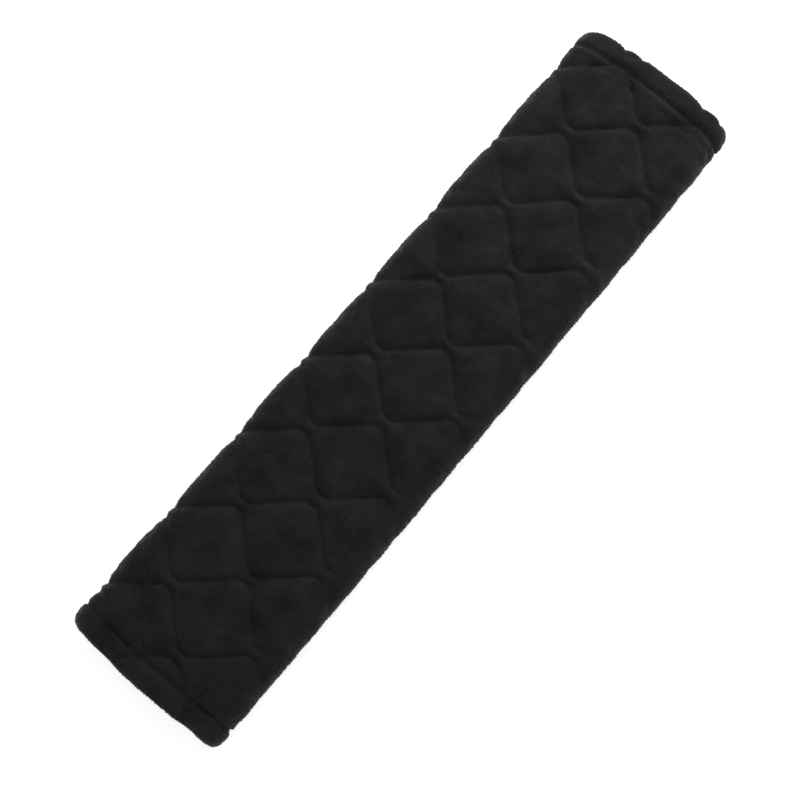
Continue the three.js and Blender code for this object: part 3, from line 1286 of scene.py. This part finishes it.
@dataclass
class PlushCover:
    """The plush face: a fine sheet with the quilting sunk into it, and the pile that stands on it."""

    laminate: Laminate
    pitch: float = 0.8
    hem_turns: int = 10
    hem_unders: int = 9
    back_pitch: float = 3.0
    back_rows: int = 70
    back_turns: int = 4
    back_unders: int = 2
    pile_height: float = 0.62
    thin_cloth: float = 1.6
    thick_cloth: float = 4.0
    groove_depth: float = 0.66
    groove_width: float = 0.8
    flap_groove_share: float = 0.8
    hem_groove_depth: float = 0.75
    hem_groove_body_width: float = 0.4
    hem_groove_roll_width: float = 0.75
    hem_quilt_share: float = 0.8
    hem_notch: float = 0.6
    hem_notch_reach: float = 5.0
    hem_blend: tuple[float, float] = (-1.0, 0.5)
    fold_scallop: float = 0.8
    fold_scallop_reach: float = 9.0
    fold_softening: float = 0.75
    fold_softening_reach: float = 7.0
    tape_groove_depth: float = 0.6
    tape_groove_width: float = 0.64
    tape_groove_run_out: float = 1.0
    neck_tuft: float = 0.45
    neck_tuft_reach: float = 1.3
    swell: float = 0.2
    swell_noise: tuple[int, float] = (3, 14.0)
    swell_reach: float = 3.0
    ripple: float = 0.09
    ripple_noise: tuple[int, float] = (5, 3.1)
    stuffing_reach: float = 1.8
    tufts: int = 156_000
    pile_pieces: int = 4
    pile_seed: int = 40
    tuft_length: float = 0.56
    tuft_radius: float = 0.22
    tuft_sink: float = 0.35
    lean: float = 0.85
    lean_scatter: float = 0.7
    nap_turns: tuple[tuple[float, int, float], ...] = ((1.4, 11, 16.0), (1.1, 12, 5.0))
    lean_spread: tuple[float, float] = (0.5, 1.3)
    length_spread: tuple[float, float] = (0.65, 1.2)
    radius_spread: tuple[float, float] = (0.75, 1.25)
    tuft_facing: float = 0.6
    tufts_below: float = 0.7
    tufts_inside: float = 0.35
    least_plush: float = 0.3
    table_clearance: float = 0.05
    pile_clearance_share: float = 0.2

    def columns(self, pitch: float) -> np.ndarray:
        """Places across the whole cloth at about the given pitch."""
        section = self.laminate.section
        return np.linspace(section.first, section.last, int((section.last - section.first) / pitch))

    def tape_rows(self) -> tuple[float, ...]:
        """Places across the cloth of the four stitch rows that hold the tapes.

        Returns:
            Two places on the inner flap, then two on the outer one.
        """
        s, section = self.laminate.sizes, self.laminate.section
        near = (s.inner_flap_reach + s.outer_flap_reach - s.tape_width) / 2 + s.tape_selvedge / 2
        far = near + s.tape_width - s.tape_selvedge
        return section.first + near, section.first + far, section.last - far, section.last - near

    def _grooves(
        self, lay: np.ndarray, v: np.ndarray, distance: np.ndarray, in_hem: np.ndarray
    ) -> np.ndarray:
        """Depth of the grooves: a bell curve across each line of the quilting, the hems and the tapes.

        Args:
            lay: Places along the flat cloth.
            v: Places across it.
            distance: Distances to the quilting.
            in_hem: 1 within the hems.

        Returns:
            The depths.
        """
        s = self.laminate.sizes
        share = mix(1.0, self.hem_quilt_share, in_hem) * self.laminate.relief(v)
        groove = self.groove_depth * share * bell(distance / self.groove_width)
        to_hem = s.half - np.abs(lay) - s.hem_stitch_inset
        width = np.where(to_hem > 0, self.hem_groove_body_width, self.hem_groove_roll_width)
        groove = np.maximum(groove, self.hem_groove_depth * bell(to_hem / width))
        tape_end = s.half - s.tape_end_inset
        in_tape = 1.0 - smoothstep(np.abs(lay), tape_end, tape_end + self.tape_groove_run_out)
        for row in self.tape_rows():
            seam = self.tape_groove_depth * in_tape * bell((v - row) / self.tape_groove_width)
            groove = np.maximum(groove, seam)
        return groove

    def cloth_depth(
        self, lay: np.ndarray, v: np.ndarray, thickness: np.ndarray, distance: np.ndarray
    ) -> np.ndarray:
        """Depth of the cloth under the pile, from the lining's belt side.

        It is the laminate's thickness less the pile and the grooves. The quilting draws the cloth in by a
        broad notch where it crosses a hem's roll or the upper side fold, and there is a small tuft in each
        neck, a slow swell and a fine ripple.

        Args:
            lay: Places along the flat cloth.
            v: Places across it.
            thickness: The laminate's thickness.
            distance: Distances to the quilting.

        Returns:
            The depths.
        """
        laminate, s = self.laminate, self.laminate.sizes
        flat = laminate.flatness(v)
        low, high = (s.hem_stitch_inset + blend for blend in self.hem_blend)
        in_hem = 1.0 - smoothstep(s.half - np.abs(lay), low, high)
        at_fold = bell((v + laminate.section.outermost) / self.fold_softening_reach) * (1.0 - in_hem)
        groove = self._grooves(lay, v, distance, in_hem) * (1.0 - self.fold_softening * at_fold)
        groove = groove * mix(1.0, self.flap_groove_share, flat)
        near_stitch = 1.0 - laminate.fullness(distance, self.hem_notch_reach)
        notch = self.hem_notch * in_hem * (1.0 - flat) * near_stitch
        scallop = self.fold_scallop * at_fold * (1.0 - laminate.fullness(distance, self.fold_scallop_reach))
        in_neck = bell(laminate.quilting.neck_distance(lay, v) / self.neck_tuft_reach)
        tuft = self.neck_tuft * laminate.relief(v) * in_neck * (1.0 - in_hem)
        swell = self.swell * SoftNoise(*self.swell_noise)(lay, v) * (1.0 - bell(distance / self.swell_reach))
        uneven = swell + self.ripple * SoftNoise(*self.ripple_noise)(lay, v)
        pile = self.pile_height * smoothstep(thickness, self.thin_cloth, self.thick_cloth)
        depth = thickness - pile - groove - (notch + scallop) + (tuft + uneven) * (1.0 - flat)
        return np.maximum(depth, laminate.hidden_depth(thickness) + self.least_plush)

    def face(self, stuffed: StuffedCloth) -> Grid:
        """The cloth under the pile.

        Args:
            stuffed: The simulated swelling.

        Returns:
            The face's grid.
        """
        s = self.laminate.sizes
        rows = int(s.length / self.pitch)
        found = self.laminate.stations(rows, self.hem_turns, self.hem_unders, self.columns(self.pitch))
        depth = self.cloth_depth(found.lay, found.v, found.thickness, found.distance)
        grid = self.laminate.place(found, depth)
        if stuffed.offsets is not None:
            on_top = (found.nh > 0.5) & (np.abs(found.x) < s.half - s.hem_stitch_inset)
            share = on_top * (1.0 - bell(found.distance / self.stuffing_reach))
            share = share * self.laminate.relief(found.v)
            grid.points += stuffed.move(found.x, found.v) * share[..., None]
        grid.points[..., 2] = np.maximum(grid.points[..., 2], self.table_clearance * MM)
        return grid

    def back(self) -> Grid:
        """The sheet's hidden back, more coarsely.

        Returns:
            The face's grid.
        """
        across = self.columns(self.back_pitch)
        found = self.laminate.stations(self.back_rows, self.back_turns, self.back_unders, across)
        return self.laminate.place(found, self.laminate.hidden_depth(found.thickness))

    def _shown(self, v: np.ndarray, inside: np.ndarray) -> np.ndarray:
        """Share of the tufts kept: none inside the closed lap, and fewer where they are hidden.

        Args:
            v: Places across the cloth.
            inside: Whether a place is on the hems' hidden side.

        Returns:
            The shares.
        """
        kept = np.where(v < self.laminate.section.first + self.laminate.sizes.closed_lap, 0.0, 1.0)
        kept = np.where(v > self.laminate.step_end, self.tufts_below, kept)
        return np.where(inside, self.tufts_inside, kept)

    def _feet(self, face: Grid, part: int, draw: np.random.Generator) -> np.ndarray:
        """Scatters one share of the tufts over the cloth.

        Args:
            face: The cloth under the pile.
            part: Which share of the pad's length this is.
            draw: The source of random numbers.

        Returns:
            For each tuft its foot, the cloth's normal, and its place along and across the flat cloth.
        """
        rows, cols = face.shape
        count = self.tufts // self.pile_pieces
        tries = 2 * count
        r = (part + draw.random(tries)) / self.pile_pieces * (rows - LAST_CELL)
        c = draw.random(tries) * (cols - LAST_CELL)
        inside = np.abs(r - rows / 2) > rows / 2 - self.hem_unders - 1
        v = mix(face.v[0, 0], face.v[0, -1], c / (cols - 1))
        kept = np.nonzero(draw.random(tries) < self._shown(v, inside))[0][:count]
        values = [face.points, face.normals(), face.lay[..., None], face.v[..., None]]
        return read_grid(np.concatenate(values, axis=-1), r[kept], c[kept])

    def pile(self, face: Grid, part: int) -> bpy.types.Object:
        """One share of the pile, as small closed tufts that lean with the nap.

        Each tuft is a three-sided spike. Its foot lies a little under the cloth and its tip stands along
        the normal plus a lean, whose direction turns slowly over the cloth. It is shaded partly with the
        cloth's own normal, as the many fibres of a real tuft are.

        Args:
            face: The cloth under the pile.
            part: Which share of the pad's length this is.

        Returns:
            The piece.
        """
        draw = np.random.default_rng(self.pile_seed + part)
        found = self._feet(face, part, draw)
        count = len(found)
        foot, normal, lay, v = found[:, :3], unit(found[:, 3:6]), found[:, 6], found[:, 7]
        along = unit(np.array([1.0, 0.0, 0.0]) - normal * normal[:, :1])
        across = np.cross(normal, along)

        def around(angle: np.ndarray) -> np.ndarray:
            """Directions in the cloth's plane at an angle from the pad's length."""
            return along * np.cos(angle)[:, None] + across * np.sin(angle)[:, None]

        turn = sum(most * SoftNoise(seed, cell)(lay, v) for most, seed, cell in self.nap_turns)
        turn = turn + draw.normal(0.0, self.lean_scatter, count)
        lean = self.lean * draw.uniform(*self.lean_spread, count)
        tilt = unit(normal + around(turn) * lean[:, None])
        length = self.tuft_length * draw.uniform(*self.length_spread, count)[:, None] * MM
        radius = self.tuft_radius * draw.uniform(*self.radius_spread, count)[:, None] * MM
        base = foot - normal * self.tuft_sink * MM
        spin = draw.uniform(0.0, 2 * math.pi, count)
        corners = [base + around(spin + 2 * math.pi * k / 3) * radius for k in range(3)]
        tip = base + tilt * (length + self.tuft_sink * MM)
        points = np.stack([*corners, tip], axis=1)
        lowest = self.pile_clearance_share * self.table_clearance * MM
        points[..., 2] = np.maximum(points[..., 2], lowest)
        sides = np.array([[0, 1, 3], [1, 2, 3], [2, 0, 3], [0, 2, 1]])
        faces = (4 * np.arange(count)[:, None, None] + sides).reshape(-1, 3)
        piece = add_mesh(f"plush_pile_{part + 1}", points.reshape(-1, 3), [faces])
        facing = unit(mix(normal, tilt, self.tuft_facing))
        piece.data.normals_split_custom_set_from_vertices(np.repeat(facing, 4, axis=0))
        cells = int(math.ceil(math.sqrt(count)))
        cell = np.stack([np.arange(count) % cells, np.arange(count) // cells], axis=1)
        spots = np.array([[0.1, 0.1], [0.9, 0.1], [0.5, 0.9], [0.5, 0.4]])
        add_map(piece, ((cell[:, None, :] + spots) / cells).reshape(-1, 2))
        return piece

    def build(self) -> None:
        """Builds and dresses the cover and its pile."""
        stuffed = StuffedCloth(self.laminate)
        stuffed.simulate()
        face = self.face(stuffed)
        cover = dress(layer_piece("plush_cover_cloth", face, self.back()), PLUSH_GROUND.make())
        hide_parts("plush_cover")
        tips = PILE_TIPS.make()
        for part in range(self.pile_pieces):
            dress(self.pile(face, part), tips)


@dataclass
class InnerLayers:
    """The wadding and the lining behind the plush."""

    laminate: Laminate
    rows: int = 61
    hem_turns: int = 6
    hem_unders: int = 3
    wadding_columns: int = 52
    lining_columns: int = 64
    raw_edge_step: float = 0.8
    least_wadding: float = 0.05

    def _stations(self, step: float, columns: int) -> Stations:
        """Stations of a layer that stops a step short of the cloth's long edges.

        Args:
            step: The step in millimetres.
            columns: How many columns the layer has.

        Returns:
            The stations.
        """
        section = self.laminate.section
        v = np.linspace(section.first + step, section.last - step, columns)
        return self.laminate.stations(self.rows, self.hem_turns, self.hem_unders, v)

    def build(self) -> None:
        """Builds and dresses both layers as closed sheets that follow the cover's hidden side."""
        laminate = self.laminate
        s, section = laminate.sizes, laminate.section
        found = self._stations(self.raw_edge_step, self.wadding_columns)
        under = s.lining + s.layer_gap / 2
        top = laminate.hidden_depth(found.thickness) - s.layer_gap / 2
        top = np.maximum(top, under + self.least_wadding)
        faces = (laminate.place(found, depth) for depth in (top, under + 0.0 * top))
        wadding = layer_piece("wadding_sheet", *faces)
        dress(wadding, WADDING_FIBRE.make())
        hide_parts("wadding")
        found = self._stations(0.0, self.lining_columns)
        belt_side = 0.0 * found.x
        faces = (laminate.place(found, depth) for depth in (belt_side + s.lining, belt_side))
        lining = layer_piece("lining_cloth", *faces)
        dress(lining, LINING_CLOTH.make())
        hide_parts("lining")
        float(np.ptp(found.lay)) * MM


def tube_faces(sides: int, rows: int) -> np.ndarray:
    """Quads of a tube's wall, whose vertices run round its sides and then along its rows.

    Args:
        sides: How many sides it has.
        rows: How many rings of vertices.

    Returns:
        Four vertex numbers for each quad.
    """
    k = np.arange(sides)
    n = (k + 1) % sides
    row = (np.arange(rows - 1) * sides)[:, None]
    return np.stack([row + k, row + n, row + sides + n, row + sides + k], axis=-1).reshape(-1, 4)


def tube_caps(sides: int, rows: int) -> np.ndarray:
    """Triangles that close a tube's two ends on two middle points, numbered after its wall's vertices.

    Args:
        sides: How many sides the tube has.
        rows: How many rings of vertices.

    Returns:
        The triangles.
    """
    k = np.arange(sides)
    n = (k + 1) % sides
    last, first_tip = (rows - 1) * sides, rows * sides
    start = np.stack([n, k, 0 * k + first_tip], axis=1)
    return np.concatenate([start, np.stack([last + k, last + n, 0 * k + first_tip + 1], axis=1)])


def sweep(paths: np.ndarray, radius: float, sides: int, guide: np.ndarray) -> tuple[np.ndarray, np.ndarray]:
    """Carries a round profile along many paths at once and closes each end with a point.

    Args:
        paths: Points of the paths, with axes path, point and X, Y, Z.
        radius: The profile's radius in metres.
        sides: How many sides it has.
        guide: A direction for each point that isn't along the path.

    Returns:
        The vertices and the triangles.
    """
    count, steps = paths.shape[:2]
    ahead = unit(np.gradient(paths, axis=1))
    one = unit(np.cross(ahead, guide))
    two = np.cross(ahead, one)
    angle = np.arange(sides) * 2 * math.pi / sides
    ring = one[:, :, None] * np.cos(angle)[:, None] + two[:, :, None] * np.sin(angle)[:, None]
    body = paths[:, :, None] + ring * radius
    tips = np.stack([paths[:, 0] - ahead[:, 0] * radius, paths[:, -1] + ahead[:, -1] * radius], axis=1)
    points = np.concatenate([body.reshape(count, -1, 3), tips], axis=1)
    wall = tube_faces(sides, steps)
    one_set = np.concatenate([wall[:, [0, 1, 2]], wall[:, [0, 2, 3]], tube_caps(sides, steps)])
    faces = (np.arange(count)[:, None, None] * (steps * sides + 2) + one_set).reshape(-1, 3)
    return points.reshape(-1, 3), faces


@dataclass(frozen=True)
class StrandMake:
    """What tells the loops from the hooks."""

    seed: int
    scatter: float
    arc: float
    level: float


STRANDS = {
    TapeKind.LOOP: StrandMake(seed=8, scatter=0.9, arc=1.0, level=0.015),
    TapeKind.HOOK: StrandMake(seed=7, scatter=0.12, arc=1.25, level=0.011),
}


@dataclass
class Tape:
    """One tape of the closure: a woven base with hooks or loops between its bare selvedges."""

    laminate: Laminate
    kind: TapeKind
    along_pitch: float = 2.0
    across_pitch: float = 1.55
    strand: float = 0.1
    strand_points: int = 6
    lift: float = 0.45
    hook_droop: float = 0.35
    root_shift: float = 0.1
    root_sink: float = 0.03
    bare_edge: float = 0.4
    strand_sides: int = 3
    band_sides: int = 24
    band_rows: int = 60
    band_powers: tuple[float, float] = (0.35, 0.6)

    def _band(self, low: np.ndarray, high: np.ndarray) -> tuple[np.ndarray, list[np.ndarray]]:
        """The base as a closed tube with a flattened oval section, its ends closed by fans.

        The section's breadth and height are powers of the cosine and the sine, so it is a band with round
        selvedges.

        Args:
            low: The band's lowest corner, in metres.
            high: Its highest corner.

        Returns:
            The vertices and the faces.
        """
        t = np.arange(self.band_sides) * 2 * math.pi / self.band_sides
        y = np.sign(np.cos(t)) * np.abs(np.cos(t)) ** self.band_powers[0]
        z = np.sign(np.sin(t)) * np.abs(np.sin(t)) ** self.band_powers[1]
        middle, half = (low + high) / 2, (high - low) / 2
        x = np.linspace(low[0], high[0], self.band_rows)[:, None]
        ring = [x + 0 * y, middle[1] + half[1] * y + 0 * x, middle[2] + half[2] * z + 0 * x]
        ends = np.array([[low[0], middle[1], middle[2]], [high[0], middle[1], middle[2]]])
        points = np.concatenate([np.stack(ring, axis=-1).reshape(-1, 3), ends])
        return points, [make(self.band_sides, self.band_rows) for make in (tube_faces, tube_caps)]

    def _strands(self, low: np.ndarray, high: np.ndarray, root: float) -> tuple[np.ndarray, np.ndarray]:
        """The hooks, each an arc past its top with a drooping tip, or the loops, each a half circle.

        Args:
            low: The tape's lowest corner, in metres.
            high: Its highest corner.
            root: Height of the face that they stand on.

        Returns:
            The vertices and the triangles.
        """
        make = STRANDS[self.kind]
        edge = (self.laminate.sizes.tape_selvedge + self.bare_edge) * MM
        x = np.arange(low[0] + edge, high[0] - edge, self.along_pitch * MM)
        y = np.arange(low[1] + edge, high[1] - edge, self.across_pitch * MM)
        xx, yy = (grid.reshape(-1, 1) for grid in np.meshgrid(x, y, indexing="ij"))
        turn = np.where(np.round(yy / (self.across_pitch * MM)) % 2 == 0, 0.0, math.pi)
        turn = turn + np.random.default_rng(make.seed).normal(0.0, make.scatter, turn.shape)
        arc = math.pi * (make.arc * np.linspace(0.0, 1.0, self.strand_points))
        reach = self.lift * (0.5 * (1 - np.cos(arc)) - self.root_shift)
        if self.kind is TapeKind.HOOK:
            up = 1.0
            droop = self.hook_droop * np.maximum(0.0, -np.cos(arc))
            rise = self.lift * (np.sin(np.minimum(arc, math.pi / 2)) - droop)
        else:
            up = -1.0
            rise = self.lift * np.sin(arc)
        height = root + up * (rise - self.root_sink) * MM + 0.0 * xx
        paths = np.stack([xx + reach * MM * np.cos(turn), yy + reach * MM * np.sin(turn), height], axis=-1)
        guide = np.stack([-np.sin(turn), np.cos(turn), 0.0 * turn], axis=-1)
        return sweep(paths, self.strand * MM, self.strand_sides, guide + 0.0 * paths)

    def build(self) -> None:
        """Builds the tape where its solid is, and dresses it."""
        node = self.kind.value
        low, high = (np.array(corner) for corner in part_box(node))
        base_low, base_high = low.copy(), high.copy()
        if self.kind is TapeKind.HOOK:
            root = base_high[2] = low[2] + self.laminate.sizes.tape_base * MM
        else:
            root = base_low[2] = high[2] - self.laminate.sizes.tape_base * MM
        points, faces = self._band(base_low, base_high)
        strands, strand_faces = self._strands(low, high, root)
        faces = [*faces, strand_faces + len(points)]
        piece = add_mesh(f"{node}_woven", np.concatenate([points, strands]), faces)
        dress(piece, cloth_finish(node, STRANDS[self.kind].level, (0.4, 3.0, 1.0), 1800.0).make())
        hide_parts(node)


@dataclass
class Sewing:
    """The threads: the quilting on both faces, the hems, the tapes and the overlocked flap edges.

    A stitch is swept through a few points, at shares of its length and dipping into the cloth at its ends.
    The guides are directions off a thread's way: one for threads along the pad, one for those across it.
    """

    laminate: Laminate
    cover: PlushCover
    stitch: float = 3.0
    gap: float = 0.3
    thread: float = 0.13
    thread_sides: int = 4
    guides: tuple[tuple[float, float, float], ...] = ((0.0, 1.0, 0.3), (1.0, 0.0, 0.2))
    table_clearance: float = 0.02
    lines: tuple[int, int] = (-9, 12)
    quilting_insets: tuple[float, float] = (2.0, 1.0)
    short_of_hem: float = 0.5
    hem_thread_inset: float = 1.0
    tape_thread_inset: float = 1.0
    shares: tuple[float, ...] = (0.0, 0.15, 0.5, 0.85, 1.0)
    dips: tuple[float, ...] = (-0.5, -0.15, -0.08, -0.15, -0.5)
    under_shares: tuple[float, ...] = (0.0, 0.5, 1.0)
    under_dips: tuple[float, ...] = (0.1, -0.12, 0.1)
    overlock_ends: tuple[float, float] = (2.0, 3.0)
    overlock_step: float = 2.5
    overlock_slant: float = 1.3
    overlock_shares: tuple[float, ...] = (0.0, 0.2, 0.5, 0.8, 1.0)
    overlock_insets: tuple[float, ...] = (2.4, 0.4, 0.0, 0.4, 2.4)
    overlock_sides: tuple[float, ...] = (0.0, 0.0, 0.5, 1.0, 1.0)
    overlock_stand: float = 0.1
    between_stitches: float = 9.0

    def _rows(self, start: np.ndarray, shares: tuple[float, ...]) -> np.ndarray:
        """Places along many stitches at once, as their shares of the way from each one's start."""
        end = start + self.stitch - self.gap
        return start[:, None] + (end - start)[:, None] * np.array(shares)

    def _top_height(self, x: np.ndarray, v: np.ndarray, distance: np.ndarray) -> np.ndarray:
        """Height of the cloth under the pile above the passage wall."""
        lift, thickness = self.laminate.top_thickness(x, v, distance)
        return lift + self.cover.cloth_depth(x, v, thickness, distance)

    def _on_top(self, x: np.ndarray, v: np.ndarray) -> tuple[np.ndarray, np.ndarray]:
        """Threads that run on the plush side and dip into it."""
        top = self._top_height(x, v, self.laminate.quilting.distance(x, v))
        return self._lay(x, v, top + np.array(self.dips))

    def _on_lining(self, x: np.ndarray, v: np.ndarray) -> tuple[np.ndarray, np.ndarray]:
        """Threads that run on the lining and dip into it."""
        return self._lay(x, v, 0.0 * v - np.array(self.dips))

    def _lay(self, x: np.ndarray, v: np.ndarray, height: np.ndarray) -> tuple[np.ndarray, np.ndarray]:
        """Sweeps threads through places on the folded laminate, kept above the table.

        Args:
            x: Places along the pad, a row for each stitch.
            v: Places across the cloth.
            height: Heights above the passage wall.

        Returns:
            The vertices and the triangles.
        """
        paths = self.laminate.section.fold(x, v, height - self.laminate.sizes.neutral_depth)
        paths[..., 2] = np.maximum(paths[..., 2], (self.thread + self.table_clearance) * MM)
        ahead = np.gradient(paths, axis=1)
        runs_along = np.abs(ahead[..., :1]) > np.abs(ahead[..., 1:2])
        return sweep(paths, self.thread * MM, self.thread_sides, np.where(runs_along, *self.guides))

    def _piece(self, name: str, runs: list[tuple[np.ndarray, np.ndarray]], black: bpy.types.Material) -> None:
        """Joins runs of stitches into one piece and dresses it.

        Args:
            name: The piece's name.
            runs: Vertices and triangles of each run.
            black: The thread's material.
        """
        starts = np.cumsum([0] + [len(points) for points, _ in runs])
        faces = [triangles + start for (_, triangles), start in zip(runs, starts)]
        dress(add_mesh(name, np.concatenate([points for points, _ in runs]), faces), black)

    def _quilting(self, black: bpy.types.Material) -> None:
        """Builds the quilting's threads on the plush, outside the closed lap, and on the lining.

        Args:
            black: The thread's material.
        """
        s, section, quilting = self.laminate.sizes, self.laminate.section, self.laminate.quilting
        low, high = self.quilting_insets
        v = np.arange(section.first + low, section.last - self.stitch - high, self.stitch)
        k, start = (grid.ravel() for grid in np.meshgrid(np.arange(*self.lines), v, indexing="ij"))
        end = start + self.stitch - self.gap
        reach = np.maximum(np.abs(quilting.line_points(k, start)), np.abs(quilting.line_points(k, end)))
        kept = reach < s.half - s.hem_stitch_inset - self.short_of_hem
        k, start = k[kept][:, None], start[kept]
        seen = start > section.first + s.closed_lap
        v = self._rows(start[seen], self.shares)
        self._piece("quilting_thread", [self._on_top(quilting.line_points(k[seen], v), v)], black)
        v = self._rows(start, self.under_shares)
        x = quilting.line_points(k, v)
        lift, _ = self.laminate.top_thickness(x, v, np.full(x.shape, self.between_stitches))
        self._piece("quilting_thread_under", [self._lay(x, v, lift + np.array(self.under_dips))], black)

    def _hems(self, black: bpy.types.Material) -> None:
        """Builds the hems' threads, on both faces of the cloth.

        Args:
            black: The thread's material.
        """
        s, section = self.laminate.sizes, self.laminate.section
        start = np.arange(section.first + self.hem_thread_inset, section.last - self.stitch, self.stitch)
        v = self._rows(start, self.shares)
        runs = []
        for end in (-1.0, 1.0):
            x = np.full(v.shape, end * (s.half - s.hem_stitch_inset))
            runs += [self._on_top(x, v), self._on_lining(x, v)]
        self._piece("hem_thread", runs, black)

    def _tapes(self, black: bpy.types.Material) -> None:
        """Builds the tapes' threads, which show on the plush of the outer flap alone.

        Args:
            black: The thread's material.
        """
        s = self.laminate.sizes
        reach = s.half - s.tape_end_inset - self.tape_thread_inset
        x = self._rows(np.arange(-reach, reach - self.stitch, self.stitch), self.shares)
        runs = []
        for row in self.cover.tape_rows():
            v = np.full(x.shape, row)
            if row > 0:
                runs.append(self._on_top(x, v))
            runs.append(self._on_lining(x, v))
        self._piece("tape_thread", runs, black)

    def _overlock(self, black: bpy.types.Material) -> None:
        """Builds the overlocking, whose slanted stitches go round the flaps' raw edges.

        Args:
            black: The thread's material.
        """
        s, section = self.laminate.sizes, self.laminate.section
        near, far = self.overlock_ends
        start = np.arange(-s.half + near, s.half - far, self.overlock_step)
        x = start[:, None] + self.overlock_slant * np.array(self.overlock_shares)
        runs = []
        for edge, inward in ((section.first, 1.0), (section.last, -1.0)):
            v = edge + inward * np.array(self.overlock_insets) + 0.0 * x
            top = self._top_height(x, v, np.full(x.shape, self.between_stitches))
            height = mix(top + self.overlock_stand, -self.overlock_stand, np.array(self.overlock_sides))
            runs.append(self._lay(x, v, height))
        self._piece("overlock_thread", runs, black)

    def build(self) -> None:
        """Builds and dresses the threads."""
        black = BLACK_THREAD.make()
        for sew in (self._quilting, self._hems, self._tapes, self._overlock):
            sew(black)


@dataclass(frozen=True)
class Lamp:
    """A square area lamp that faces the pad, with its place and side in metres and its power in watts."""

    name: str
    place: tuple[float, float, float]
    size: float
    power: float

    def hang(self) -> None:
        """Adds the lamp to the scene."""
        light = bpy.data.lights.new(self.name, "AREA")
        light.shape = "SQUARE"
        light.size = self.size
        light.energy = self.power
        lamp = bpy.data.objects.new(self.name, light)
        lamp.location = self.place
        lamp.rotation_euler = (-Vector(self.place)).to_track_quat("-Z", "Y").to_euler()
        bpy.context.scene.collection.objects.link(lamp)


@dataclass(frozen=True)
class Studio:
    """The white floor, the soft lamps and the camera, with the camera's sizes in millimetres and degrees."""

    target: tuple[float, float, float] = (-8.97, -2.87, 11.5)
    distance: float = 548.6
    azimuth: float = -50.05
    elevation: float = 78.66
    lens: float = 72.0
    floor_half: float = 2.0
    floor_level: float = 0.36
    floor_glow: float = 0.76
    sky_light: float = 0.5
    lamps: tuple[Lamp, ...] = (
        Lamp("key_lamp", (0.37, 0.05, 0.34), 0.34, 2.85),
        Lamp("top_lamp", (0.2, 0.1, 1.5), 1.2, 7.0),
        Lamp("fill_lamp", (-0.7, -0.16, 0.1), 0.3, 2.4),
    )

    def floor(self) -> None:
        """Lays a white floor that keeps the pad's shadow and shows white elsewhere."""
        corners = np.array([[-1, -1, 0], [1, -1, 0], [1, 1, 0], [-1, 1, 0]]) * self.floor_half
        floor = add_mesh("floor", corners, [np.array([[0, 1, 2, 3]])])
        s = Shader("white_floor")
        glow = s.node("ShaderNodeEmission", strength=self.floor_glow)
        none = s.node("ShaderNodeEmission", strength=0.0)
        pick = s.node("ShaderNodeMixShader")
        both = s.node("ShaderNodeAddShader")
        s.link(seen_rays(s.tree), pick.inputs[0])
        s.link(none.outputs[0], pick.inputs[1])
        s.link(glow.outputs[0], pick.inputs[2])
        s.link(s.shader.outputs[0], both.inputs[0])
        s.link(pick.outputs[0], both.inputs[1])
        s.link(both.outputs[0], s.tree.nodes["Material Output"].inputs["Surface"])
        s.set(base_color=(*(self.floor_level,) * 3, 1.0), roughness=1.0, specular_ior_level=0.0)
        floor.data.materials.append(s.material)

    def sky(self) -> bpy.types.World:
        """Makes a soft white sky that lights at a part of full strength and shows white.

        Returns:
            The world.
        """
        world = bpy.data.worlds.new("studio")
        world.use_nodes = True
        tree = world.node_tree
        strength = tree.nodes.new("ShaderNodeMath")
        strength.operation = "MULTIPLY_ADD"
        strength.inputs[1].default_value = 1.0 - self.sky_light
        strength.inputs[2].default_value = self.sky_light
        tree.links.new(seen_rays(tree), strength.inputs[0])
        back = tree.nodes["Background"]
        back.inputs["Color"].default_value = (1.0, 1.0, 1.0, 1.0)
        tree.links.new(strength.outputs[0], back.inputs["Strength"])
        return world

    def camera(self) -> bpy.types.Object:
        """Sets the camera at its distance from the target, on the bearing and height of the photo's view.

        Returns:
            The camera.
        """
        camera = bpy.data.cameras.new("camera")
        camera.lens = self.lens
        camera.sensor_width = 36.0
        camera.clip_start = 0.01
        camera.clip_end = 20.0
        view = bpy.data.objects.new("camera", camera)
        a, e = math.radians(self.azimuth), math.radians(self.elevation)
        back_way = Vector((math.sin(a) * math.cos(e), -math.cos(a) * math.cos(e), math.sin(e)))
        view.location = Vector(self.target) * MM + back_way * self.distance * MM
        view.rotation_euler = (math.pi / 2 - e, 0.0, a)
        bpy.context.scene.collection.objects.link(view)
        return view

    def build(self) -> None:
        """Sets the floor, lamps, sky, camera and view."""
        self.floor()
        for lamp in self.lamps:
            lamp.hang()
        scene = bpy.context.scene
        scene.world = self.sky()
        scene.view_settings.view_transform = "Standard"
        scene.camera = self.camera()


def main() -> None:
    """Builds the studio and then the pad, and reports each piece."""
    logging.basicConfig(level=logging.INFO, format="%(message)s")
    laminate = Laminate(PadSizes(), Quilting())
    Studio().build()
    cover = PlushCover(laminate)
    cover.build()
    InnerLayers(laminate).build()
    Tape(laminate, TapeKind.LOOP).build()
    Tape(laminate, TapeKind.HOOK).build()
    Sewing(laminate, cover).build()


if __name__ == "__main__":
    main()
